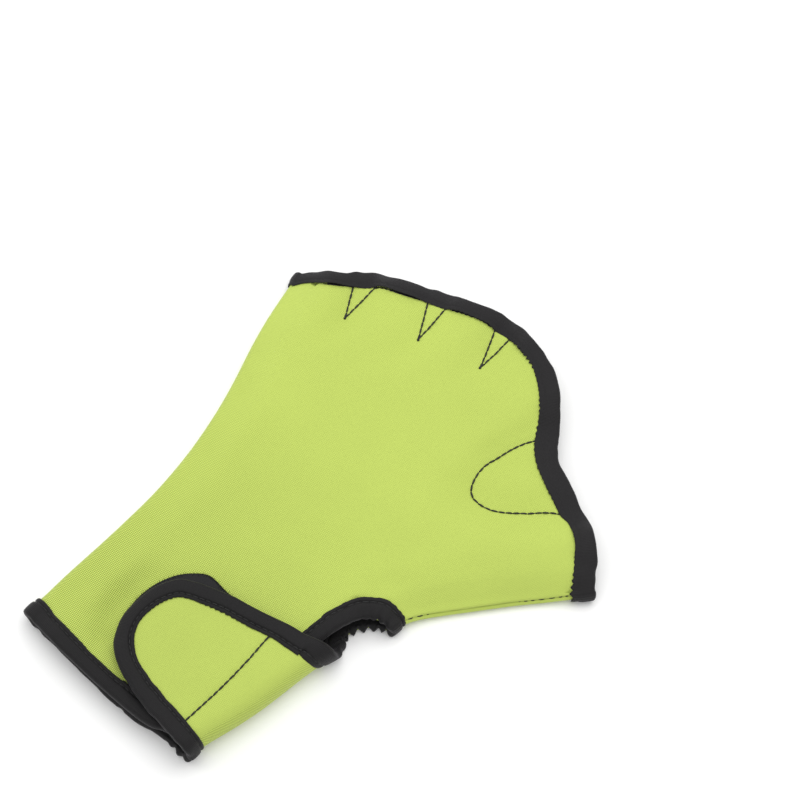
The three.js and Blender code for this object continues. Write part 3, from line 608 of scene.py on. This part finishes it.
def add_knit_map(mesh):
    """A map of the knit in metres: the plan, with the folds and slopes laid out flat beside it."""
    layer = mesh.uv_layers.new(name="KnitRun")
    places = []
    for vertex in mesh.vertices:
        x, y, z = vertex.co / MM
        top = 8.5 + 7.5 * ease((x - 2.0) / 8.0) * ease((-46.0 - y) / 8.0)
        depth = max(0.0, top - z) * MM
        places.append((vertex.co.x + vertex.normal.x * depth, vertex.co.y + vertex.normal.y * depth))
    for loop in mesh.loops:
        layer.data[loop.index].uv = places[loop.vertex_index]


class GLOVE_OT_neoprene_sheet(bpy.types.Operator):
    """Lays the folded neoprene sheet with its stitched hollows and creases"""
    bl_idname = "glove.neoprene_sheet"
    bl_label = "Neoprene sheet"

    def execute(self, context):
        settings = context.scene.glove_neoprene
        mesh = mesh_from("neoprene_sheet", frame_copy("neoprene_shell"))
        sheet = add_piece("neoprene_sheet", mesh, neoprene_material(settings))
        smooth_piece(sheet, settings.smoothing)
        add_knit_map(sheet.data)
        groove = dress_sheet(sheet.data, settings)
        sheet.vertex_groups.new(name=SEAM_GROUP).add(groove, 1.0, "REPLACE")
        sheet.data.update()
        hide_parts("neoprene_shell")
        return {"FINISHED"}


# ---------------------------------------------------------------- binding tapes

def straight_ring(vertex, edge, count):
    """Vertices met by going straight on round a tube of squares, if they close after that count."""
    ring, current, via = [vertex], edge.other_vert(vertex), edge
    while current is not vertex:
        ring.append(current)
        if len(ring) > count or len(current.link_edges) != 4:
            return None
        ahead = [e for e in current.link_edges if not set(e.link_faces) & set(via.link_faces)]
        if len(ahead) != 1:
            return None
        via = ahead[0]
        current = via.other_vert(current)
    return [v.index for v in ring] if len(ring) == count else None


def next_ring(ring, previous, touching, places):
    """The ring of a triangulated tube that follows a ring, in the same order round the tube."""
    taken = set(ring) | set(previous)
    ahead = [touching[v] - taken for v in ring]
    band = set().union(*ahead)
    cycle, last = [min(ahead[0])], None
    while True:
        onward = [v for v in touching[cycle[-1]] & band if v != last]
        last = cycle[-1]
        if onward[0] == cycle[0] or len(cycle) == len(ring):
            break
        cycle.append(onward[0])
    found = []
    for order in (cycle, cycle[::-1]):
        for shift in range(len(order)):
            turned = order[shift:] + order[:shift]
            if all(v in near for v, near in zip(turned, ahead)):
                found.append((sum((places[a] - places[b]).length for a, b in zip(turned, ring)), turned))
    return min(found)[1]


def tape_rings(node):
    """The tape's sections in order along it, each the ten corners of a frame node's section."""
    tube = bmesh.new()
    tube.from_mesh(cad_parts[node].data)
    bmesh.ops.remove_doubles(tube, verts=tube.verts, dist=MERGE)
    tube.verts.index_update()
    touching = [{e.other_vert(v).index for e in v.link_edges} for v in tube.verts]
    places = [v.co.copy() for v in tube.verts]
    bmesh.ops.join_triangles(
        tube, faces=tube.faces, angle_face_threshold=math.pi, angle_shape_threshold=math.pi, topology_influence=2.0)
    tries = (straight_ring(v, e, TAPE_RING) for v in tube.verts for e in v.link_edges)
    first = next(ring for ring in tries if ring)
    tube.free()
    rings, previous = [first], []
    while True:
        following = next_ring(rings[-1], previous, touching, places)
        if set(following) == set(first):
            break
        previous = rings[-1]
        rings.append(following)
    return [[places[v] for v in ring] for ring in rings]


def corner_order(ring):
    """The shift that brings a section's long sides to their usual places."""
    count = len(ring)
    sides = [(ring[i] - ring[(i + 1) % count]).length for i in range(count)]
    return max(range(count), key=lambda shift: sum(sides[(shift + side) % count] for side in LONG_SIDES))


def tape_stations(node):
    """Rim, inner edge and half thickness of the tape at each of its sections."""
    rings = tape_rings(node)
    shift = corner_order(rings[0])
    stations = []
    for ring in rings:
        p = ring[shift:] + ring[:shift]
        rim_up, inner_up = (p[8] - p[5]).normalized(), (p[9] - p[4]).normalized()
        stations.append(((p[8] + p[5]) / 2, (p[9] + p[4]) / 2, rim_up, inner_up))
    return stations


def curve_point(a, b, c, d, share):
    """A point of a Catmull-Rom curve between b and c."""
    return 0.5 * (
        2 * b + (c - a) * share + (2 * a - 5 * b + 4 * c - d) * share ** 2 + (3 * b - a - 3 * c + d) * share ** 3)


def even_stations(stations, step):
    """Stations at an even step along the closed tape, with the length travelled."""
    count = len(stations)
    fine = []
    for index in range(count):
        four = [stations[(index + offset) % count] for offset in (-1, 0, 1, 2)]
        for part in range(12):
            share = part / 12
            fine.append([curve_point(*(station[key] for station in four), share) for key in range(4)])
    middles = [(rim + inner) / 2 for rim, inner, _, _ in fine]
    travelled = [0.0]
    for index in range(1, len(fine) + 1):
        travelled.append(travelled[-1] + (middles[index % len(fine)] - middles[index - 1]).length)
    total = travelled[-1]
    steps = round(total / step)
    even, at = [], 0
    for number in range(steps):
        wanted = total * number / steps
        while travelled[at + 1] < wanted:
            at += 1
        share = (wanted - travelled[at]) / max(1e-9, travelled[at + 1] - travelled[at])
        here, onward = fine[at], fine[(at + 1) % len(fine)]
        rim, inner, rim_up, inner_up = (a.lerp(b, share) for a, b in zip(here, onward))
        even.append((rim, inner, rim_up.normalized(), inner_up.normalized(), wanted))
    return even, total


def strength_at(place, spots):
    """Strength of the gathers at a place from a list of spots."""
    return sum(
        strength * bell((place - Vector(spot) * MM).length, reach * MM) for *spot, reach, strength in spots)


def trims_at(place, trims):
    """How far the rim and the inner edge go outwards at a place, in metres, from a table of places."""
    near = [(bell((place - Vector(row[:3]) * MM).length, TRIM_REACH * MM), row[3], row[4]) for row in trims]
    whole = max(0.3, sum(weight for weight, _, _ in near))
    return [sum(row[key] * row[0] for row in near) / whole * MM for key in (1, 2)]


def tape_section(station, total, settings, look):
    """Points round the tape's section at one station, their places across it, and the groove's place and facing."""
    rim, inner, rim_up, inner_up, travelled = station
    outward = (rim - inner).normalized()
    rim_trim, inner_trim = trims_at((rim + inner) / 2, look["trims"])
    rim = rim + outward * rim_trim
    inner = inner + outward * inner_trim
    outward = rim - inner
    width = outward.length
    outward.normalize()
    gathered = 0.04 + strength_at(rim, look["gathers"])
    crumpled = strength_at(rim, look["crumples"])
    pleated = strength_at(rim, look["pleats"])
    cycles = round(total / settings.gather_pitch)
    phase = 2 * math.pi * cycles * travelled / total + 2.4 * wave_noise(travelled / 0.006, 1.0)
    scallop = math.sin(phase) * (0.45 + 1.1 * abs(wave_noise(travelled / 0.0045, 9.0)))
    pleat_cycles = round(total / settings.pleat_pitch)
    fold_phase = 2 * math.pi * pleat_cycles * travelled / total + 0.5 * wave_noise(travelled / 0.007, 11.0)
    fold = 0.6 * math.asin(0.97 * math.sin(fold_phase)) / (math.pi / 2) + 0.4 * math.sin(fold_phase)
    depth = settings.gather_depth * gathered
    rim_wave = 0.00012 * wave_noise(travelled / 0.009, 3.0) + 0.5 * depth * wave_noise(travelled / 0.0028, 4.0)
    rim_wave += settings.pleat_depth * pleated * fold + 0.0012 * crumpled * wave_noise(travelled / 0.0038, 18.0)
    lip_wave = look["lip"] * MM * (wave_noise(travelled / 0.012, 12.0) + 0.3 * wave_noise(travelled / 0.003, 13.0))
    groove = look["groove"] * (1.0 + 0.3 * wave_noise(travelled / 0.005, 14.0))
    points, across = [], []

    def raised(middle):
        """The rise of the sheet at a place in the tape's middle."""
        return Vector((0, 0, rise_at(middle, look["waves"])))

    def add(share, height, side):
        """One point at a share of the width from the inner edge, and a height over the middle."""
        up = inner_up.lerp(rim_up, min(1.0, max(0.0, share))).normalized()
        edge = max(0.0, 1.0 - share / 0.28)
        body = max(0.0, math.sin(math.pi * min(1.0, max(0.0, share))))
        out = share * width - depth * 2.2 * edge * (0.25 + 0.6 * scallop) - lip_wave * edge
        out += rim_wave * max(0.0, share) ** 2
        lift = depth * 0.5 * edge * scallop
        lift += (depth * 0.55 + 0.00003) * body * wave_noise(travelled / 0.0024 + share * 0.8, 6.0 + side)
        lift += 0.00006 * body * wave_noise(travelled / 0.008 + share * 1.7, 16.0 + side)
        lift += settings.pleat_depth * 0.7 * pleated * fold * share
        lift += 0.0006 * crumpled * body * wave_noise(travelled / 0.0034 + share * 0.6, 19.0)
        lift -= groove * bell(share - STITCH_SHARE, 0.05)
        middle = inner + outward * out
        points.append(middle + up * side * (height * MM + lift * (0.4 if side < 0 else 1.0)) + raised(middle))
        across.append(share * 7.7 if side > 0 else 20.0 - share * 7.7)

    for share, height in TAPE_PROFILE:
        add(share, height, 1)
    stitched = points[[share for share, _ in TAPE_PROFILE].index(STITCH_SHARE)].copy()
    radius = TAPE_PROFILE[-1][1] * MM
    for number in range(RIM_STEPS):
        angle = math.pi / 2 - math.pi * (number + 0.5) / RIM_STEPS
        swell = radius * (1.0 + 0.06 * wave_noise(travelled / 0.004, 8.0))
        place = inner + outward * (width * 0.93 + rim_wave + swell * 0.66 * math.cos(angle))
        up = rim_up * (radius * math.sin(angle) + settings.pleat_depth * 0.7 * pleated * fold)
        points.append(place + up + raised(place))
        across.append(8.0 + 4.0 * (number + 1) / (RIM_STEPS + 1))
    for share, height in reversed(TAPE_PROFILE):
        add(share, height, -1)
    for share, height in ((0.03, -TAPE_LINING), (0.5, -TAPE_LINING), (0.95, -TAPE_LINING), (0.95, TAPE_LINING),
                          (0.5, TAPE_LINING), (0.03, TAPE_LINING)):
        up = inner_up.lerp(rim_up, share).normalized()
        middle = inner + outward * share * width
        points.append(middle + up * height * MM + raised(middle))
        across.append(24.0 + share)
    return points, across, (stitched, inner_up)


def tape_mesh(name, node, settings, look):
    """A closed tube of tape round its whole edge with a map that runs along it, its stations, and its groove's places."""
    stations, total = even_stations(tape_stations(node), settings.step)
    sections = [tape_section(station, total, settings, look) for station in stations]
    tube = bmesh.new()
    layer = tube.loops.layers.uv.new("TapeRun")
    rings = [[tube.verts.new((p.x, p.y, max(p.z, 0.00002))) for p in section[0]] for section in sections]
    sides = len(rings[0])
    for number, ring in enumerate(rings):
        onward = rings[(number + 1) % len(rings)]
        across = sections[number][1]
        travelled = stations[number][4] / MM
        ahead = travelled + total / len(rings) / MM
        for side in range(sides):
            beside = (side + 1) % sides
            face = tube.faces.new((ring[side], onward[side], onward[beside], ring[beside]))
            far = across[beside] if beside else across[side] + 1.0
            for loop, place in zip(face.loops, ((travelled, across[side]), (ahead, across[side]), (ahead, far), (travelled, far))):
                loop[layer].uv = place
    bmesh.ops.recalc_face_normals(tube, faces=tube.faces)
    return mesh_from(name, tube), stations, [section[2] for section in sections]


def tape_stitches(name, groove, settings, material):
    """A row of stitches along the tape's groove."""
    built = bmesh.new()
    skip = 5
    for start, end in zip(groove[::skip], groove[skip::skip]):
        add_stitch(built, start[0], end[0], (start[1] + end[1]).normalized(), settings.thickness * 0.4, 0.0)
    bmesh.ops.recalc_face_normals(built, faces=built.faces)
    add_piece(name, mesh_from(name, built), material)


def pull_in(sheet, stations, trims):
    """Draws the sheet's edge in with the tape, where the tape's rim is trimmed back from its frame."""
    rows = []
    for rim, inner, _, _, _ in stations:
        trim = trims_at((rim + inner) / 2, trims)[0] + 0.0003
        if trim < 0:
            rows.append((rim, (rim - inner).normalized() * trim))
    tree = kdtree.KDTree(len(rows))
    for number, (rim, _) in enumerate(rows):
        tree.insert(rim, number)
    tree.balance()
    for vertex in sheet.vertices:
        _, number, away = tree.find(vertex.co)
        if away < 0.0065:
            vertex.co += rows[number][1] * min(1.0, (0.0065 - away) / 0.004)
            vertex.co.z = max(vertex.co.z, 0.00001)
    sheet.update()


def lay_over(tape, tree):
    """Raises the tape wherever the sheet would stand through its upper side."""
    above, down = Vector((0, 0, 0.0012)), Vector((0, 0, -1))
    for vertex in tape.vertices:
        if vertex.normal.z > -0.3:
            hit, facing, _, _ = tree.ray_cast(vertex.co + above, down, 0.0014)
            if hit is not None and facing.z > 0.1:
                vertex.co.z = hit.z + 0.0002
    tape.update()


def tuck_under(sheet, tree):
    """Presses the sheet down wherever it would stand through the tape over it."""
    down, least = Vector((0, 0, -1)), 0.0003
    for vertex in sheet.vertices:
        if vertex.normal.z > 0.1:
            tape = tree.ray_cast(vertex.co + Vector((0, 0, 0.0022)), down, 0.0044)[0]
            if tape is not None and vertex.co.z > tape.z - least:
                vertex.co.z = tape.z - least
    sheet.update()


class GLOVE_OT_binding_tapes(bpy.types.Operator):
    """Folds the binding tapes over the finger edge and over the wrist, vent and strap edge, and sews them down"""
    bl_idname = "glove.binding_tapes"
    bl_label = "Binding tapes"

    def execute(self, context):
        settings = context.scene.glove_tape
        material = tape_material(settings)
        thread = thread_material(context.scene.glove_thread)
        waves = context.scene.glove_neoprene.unevenness
        for name, node, look in (
                ("finger_tape", "finger_binding", {
                    "gathers": FINGER_GATHERS, "crumples": FINGER_CRUMPLES, "pleats": (), "trims": FINGER_TRIMS,
                    "groove": settings.finger_groove, "lip": 0.1, "waves": waves}),
                ("wrist_tape", "wrist_binding", {
                    "gathers": WRIST_GATHERS, "crumples": WRIST_CRUMPLES, "pleats": WRIST_PLEATS, "trims": WRIST_TRIMS,
                    "groove": settings.wrist_groove, "lip": 0.3, "waves": waves})):
            mesh, stations, groove = tape_mesh(name, node, settings, look)
            piece = add_piece(name, mesh, material)
            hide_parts(node)
            sheet = bpy.data.objects["neoprene_sheet"]
            pull_in(sheet.data, stations, look["trims"])
            lay_over(mesh, surface_of([sheet]))
            tuck_under(sheet.data, surface_of([piece]))
            tape_stitches(name + "_stitches", groove, context.scene.glove_thread, thread)
        return {"FINISHED"}


# ---------------------------------------------------------------- hook patch

def hook_at(built, place, lean, height):
    """One small hook: a stem of three sides that bends over at its top."""
    side = lean.cross(Vector((0, 0, 1))).normalized()
    radius = 0.00011
    rows = []
    for rise, run, size in ((0.0, 0.0, 1.0), (0.55, 0.25, 0.85), (0.95, 0.75, 0.7), (0.8, 1.25, 0.35)):
        middle = place + Vector((0, 0, height * rise)) + lean * height * run
        corners = []
        for number in range(3):
            angle = 2 * math.pi * number / 3
            corners.append(built.verts.new(middle + (side * math.cos(angle) + Vector((0, 0, 1)).lerp(lean, 0.5) * math.sin(angle)) * radius * size))
        rows.append(corners)
    for low, high in zip(rows, rows[1:]):
        for number in range(3):
            beside = (number + 1) % 3
            built.faces.new((low[number], low[beside], high[beside], high[number]))
    built.faces.new(rows[0][::-1])
    built.faces.new(rows[-1])


class GLOVE_OT_hook_patch(bpy.types.Operator):
    """Makes the hook patch under the strap tab, with hooks along the rim that peeps out"""
    bl_idname = "glove.hook_patch"
    bl_label = "Hook patch"

    def execute(self, context):
        mesh = mesh_from("hook_ground", frame_copy("hook_patch"))
        material = hook_material()
        ground = add_piece("hook_ground", mesh, material)
        smooth_piece(ground, 2)
        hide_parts("hook_patch")
        for vertex, facing in [(v, v.normal.copy()) for v in mesh.vertices]:
            vertex.co += Vector((facing.x * 0.4, max(0.0, facing.y), 0)) * HOOK_SPREAD
            tucked = ease((vertex.co.x / MM + 30.0) / 13.0) * ease((vertex.co.y / MM + 66.0) / 15.0)
            vertex.co.y -= HOOK_TUCK * tucked
        mesh.update()
        hooks = bmesh.new()
        tree = surface_of([ground])
        low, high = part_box("hook_patch")
        pitch = 0.0009
        column = low.x
        number = 0
        while column < high.x:
            row = low.y
            while row < high.y:
                number += 1
                shift = Vector((wave_noise(number * 0.37, 1.0), wave_noise(number * 0.37, 2.0), 0)) * pitch * 0.5
                over = tree.ray_cast(Vector((column, row, ABOVE)) + shift, Vector((0, 0, -1)))[0]
                if over is not None:
                    probes = (Vector((math.cos(a), math.sin(a), 0)) * 0.0016 for a in (0.0, 1.57, 3.14, 4.71))
                    misses = [p for p in probes if tree.ray_cast(over + p + Vector((0, 0, ABOVE)), Vector((0, 0, -1)))[0] is None]
                    if misses:
                        out = sum(misses, Vector()).normalized()
                        if out.length > 0.5:
                            height = 0.0007 + 0.0004 * wave_noise(number * 0.9, 4.0)
                            hook_at(hooks, over - Vector((0, 0, 0.0002)), out, height)
                row += pitch
            column += pitch
        bmesh.ops.recalc_face_normals(hooks, faces=hooks.faces)
        add_piece("hook_fringe", mesh_from("hook_fringe", hooks), material)
        return {"FINISHED"}


# ---------------------------------------------------------------- stitches

def even_line(line, step):
    """Places at an even step on a smooth curve through the line's places, in metres."""
    knots = [Vector((x, y, 0)) * MM for x, y in line]
    ends = [2 * knots[0] - knots[1], *knots, 2 * knots[-1] - knots[-2]]
    fine = [
        curve_point(*ends[index:index + 4], part / 40) for index in range(len(knots) - 1) for part in range(40)]
    fine.append(knots[-1])
    places, left = [fine[0]], step
    for start, end in zip(fine, fine[1:]):
        length = (end - start).length
        while length >= left > 0:
            start = start + (end - start) * (left / length)
            places.append(start)
            length -= left
            left = step
        left -= length
    return places


def add_stitch(built, start, end, up, radius, sink, weave=0.0):
    """One stitch: a short thread that comes out of the cloth, lies on it and goes in again."""
    run = end - start
    side = run.cross(up).normalized()
    rows = []
    for share, lift, size in (
            (-0.02, -0.9, 0.7), (0.08, 0.15, 0.9), (0.3, 0.6, 1.05), (0.5, 0.7, 1.1), (0.7, 0.6, 1.05), (0.92, 0.15, 0.9),
            (1.02, -0.9, 0.7)):
        middle = start + run * share + up * (radius * lift - sink) + side * (weave * (share - 0.5))
        corners = []
        for number in range(6):
            angle = 2 * math.pi * number / 6
            turned = side * math.cos(angle) + up * math.sin(angle)
            corners.append(built.verts.new(middle + turned * radius * size))
        rows.append(corners)
    for low, high in zip(rows, rows[1:]):
        for number in range(6):
            beside = (number + 1) % 6
            built.faces.new((low[number], high[number], high[beside], low[beside]))
    built.faces.new(rows[0])
    built.faces.new(rows[-1][::-1])


def longer(line, extra):
    """A line with its last place moved on by some millimetres, so that it ends under the tape."""
    last, run = Vector(line[-1]), (Vector(line[-1]) - Vector(line[-2])).normalized()
    return [*line[:-1], tuple(last + run * extra)]


def add_stitches(built, line, tree, settings):
    """Stitches along a line, on the surface below its places."""
    places = []
    for place in even_line(longer(line, 2.6), settings.stitch):
        hit, normal, _, _ = tree.ray_cast(place + Vector((0, 0, ABOVE)), Vector((0, 0, -1)))
        if hit is not None:
            places.append((hit, normal))
    for number, ((start, start_up), (end, end_up)) in enumerate(zip(places, places[1:])):
        if (end - start).length < 2 * settings.stitch:
            weave = settings.thickness * 0.5 * wave_noise(number * 0.7, 21.0)
            up = (start_up + end_up).normalized()
            add_stitch(built, start, end, up, settings.thickness / 2, 0.0, weave)


def add_knot(built, place, tree, settings):
    """Two short crossed stitches, where a line of sewing is fastened off."""
    hit, normal, _, _ = tree.ray_cast(Vector((place[0] * MM, place[1] * MM, ABOVE)), Vector((0, 0, -1)))
    for turn in (0.5, 1.5, 2.4):
        half = Vector((math.cos(turn), math.sin(turn), 0)) * settings.thickness * 0.8
        add_stitch(built, hit - half, hit + half, normal, settings.thickness * 0.55, 0.0)


def seam_places(sheet, step):
    """Places along the bottom of the thumb seam's groove at an even step, with the way that each faces."""
    group = sheet.vertex_groups[SEAM_GROUP].index
    bins = {}
    for vertex in sheet.data.vertices:
        if any(entry.group == group for entry in vertex.groups):
            along = line_distance((vertex.co.x / MM, vertex.co.y / MM), SEAM_LINE)[1] * MM
            bins.setdefault(round(along / step), []).append(vertex)
    places = []
    for key in sorted(bins):
        near = bins[key]
        middle = sum((v.co for v in near), Vector()) / len(near)
        places.append((middle, sum((v.normal for v in near), Vector()).normalized()))
    return places


class GLOVE_OT_stitches(bpy.types.Operator):
    """Sews the finger darts, the web, the hook patch line and the thumb seam"""
    bl_idname = "glove.stitches"
    bl_label = "Stitches"

    def execute(self, context):
        settings = context.scene.glove_thread
        material = thread_material(settings)
        sheet = bpy.data.objects["neoprene_sheet"]
        tree = surface_of([sheet])
        legs = [leg for top, point, far in DART_LINES for leg in ((point, top), (point, far))]
        for name, lines, knots in (
                ("dart_stitches", legs, [point for _, point, _ in DART_LINES]),
                ("web_stitches", [WEB_LINE], []),
                ("hook_line_stitches", [HOOK_LINE], [HOOK_LINE[0]])):
            built = bmesh.new()
            for line in lines:
                add_stitches(built, line, tree, settings)
            for knot in knots:
                add_knot(built, knot, tree, settings)
            bmesh.ops.recalc_face_normals(built, faces=built.faces)
            add_piece(name, mesh_from(name, built), material)
        built = bmesh.new()
        places = seam_places(sheet, settings.stitch)
        for (start, start_up), (end, end_up) in zip(places, places[1:]):
            up = (start_up + end_up).normalized()
            add_stitch(built, start.lerp(end, 0.2), start.lerp(end, 0.8), up, settings.thickness * 0.4, 0.0)
        bmesh.ops.recalc_face_normals(built, faces=built.faces)
        add_piece("seam_stitches", mesh_from("seam_stitches", built), material)
        return {"FINISHED"}


# ---------------------------------------------------------------- stage

class GLOVE_OT_stage(bpy.types.Operator):
    """Sets the pale floor, the soft lights and the camera"""
    bl_idname = "glove.stage"
    bl_label = "Studio stage"

    def execute(self, context):
        settings = context.scene.glove_stage
        bpy.ops.object.select_all(action="DESELECT")
        bpy.ops.mesh.primitive_circle_add(vertices=96, radius=6.0, fill_type="NGON", location=(0, 0, 0))
        floor = context.active_object
        floor.name = "studio_floor"
        floor.data.materials.append(floor_material(settings.floor_colour))

        world = context.scene.world or bpy.data.worlds.new("Studio")
        context.scene.world = world
        world.use_nodes = True
        background = world.node_tree.nodes["Background"]
        background.inputs["Color"].default_value = (1.0, 1.0, 1.0, 1.0)
        background.inputs["Strength"].default_value = settings.fill

        for name, place, size, power in (
                ("key_light", (0.0, 0.3, 0.9), 1.1, settings.key_power),
                ("side_light", (-0.72, -0.16, 0.40), 0.7, settings.side_power)):
            bpy.ops.object.light_add(type="AREA", location=place)
            light = context.active_object
            light.name = name
            light.data.shape = "SQUARE"
            light.data.size = size
            light.data.energy = power
            light.rotation_mode = "QUATERNION"
            light.rotation_quaternion = light.location.to_track_quat("Z", "Y")

        camera_data = bpy.data.cameras.new("photo_view")
        camera = bpy.data.objects.new("photo_view", camera_data)
        context.scene.collection.objects.link(camera)
        turn, rise, roll = math.radians(35.5206), math.radians(63.8618), math.radians(4.0981)
        back = Vector((math.sin(turn) * math.cos(rise), -math.cos(turn) * math.cos(rise), math.sin(rise)))
        right = Vector((math.cos(turn), math.sin(turn), 0.0))
        up = back.cross(right)
        right, up = right * math.cos(roll) + up * math.sin(roll), up * math.cos(roll) - right * math.sin(roll)
        camera.matrix_world = Matrix.Translation((0.26622, -0.34531, 1.01302)) @ Matrix((right, up, back)).transposed().to_4x4()
        camera_data.lens = settings.lens
        camera_data.clip_start = 0.05
        context.scene.camera = camera
        context.scene.view_settings.view_transform = "Standard"
        return {"FINISHED"}


class GLOVE_PT_panel(bpy.types.Panel):
    """Buttons for each piece of the swim glove"""
    bl_idname = "GLOVE_PT_panel"
    bl_label = "Swim glove"
    bl_space_type = "VIEW_3D"
    bl_region_type = "UI"
    bl_category = "Swim glove"

    def draw(self, context):
        scene = context.scene
        for settings, operator in (
                (scene.glove_stage, GLOVE_OT_stage), (scene.glove_neoprene, GLOVE_OT_neoprene_sheet),
                (scene.glove_tape, GLOVE_OT_binding_tapes), (None, GLOVE_OT_hook_patch),
                (scene.glove_thread, GLOVE_OT_stitches)):
            box = self.layout.box()
            box.operator(operator.bl_idname)
            if settings:
                for key in settings.__annotations__:
                    box.prop(settings, key)


SETTINGS = (
    ("glove_neoprene", GloveNeopreneSettings),
    ("glove_tape", GloveTapeSettings),
    ("glove_thread", GloveThreadSettings),
    ("glove_stage", GloveStageSettings),
)
OPERATORS = (
    GLOVE_OT_stage,
    GLOVE_OT_neoprene_sheet,
    GLOVE_OT_binding_tapes,
    GLOVE_OT_hook_patch,
    GLOVE_OT_stitches,
)


def register():
    for name, group in SETTINGS:
        bpy.utils.register_class(group)
        setattr(bpy.types.Scene, name, bpy.props.PointerProperty(type=group))
    for operator in OPERATORS:
        bpy.utils.register_class(operator)
    bpy.utils.register_class(GLOVE_PT_panel)


def unregister():
    bpy.utils.unregister_class(GLOVE_PT_panel)
    for operator in reversed(OPERATORS):
        bpy.utils.unregister_class(operator)
    for name, group in reversed(SETTINGS):
        delattr(bpy.types.Scene, name)
        bpy.utils.unregister_class(group)


def main():
    register()
    bpy.ops.glove.stage()
    bpy.ops.glove.neoprene_sheet()
    bpy.ops.glove.binding_tapes()
    bpy.ops.glove.hook_patch()
    bpy.ops.glove.stitches()


if __name__ == "__main__":
    main()
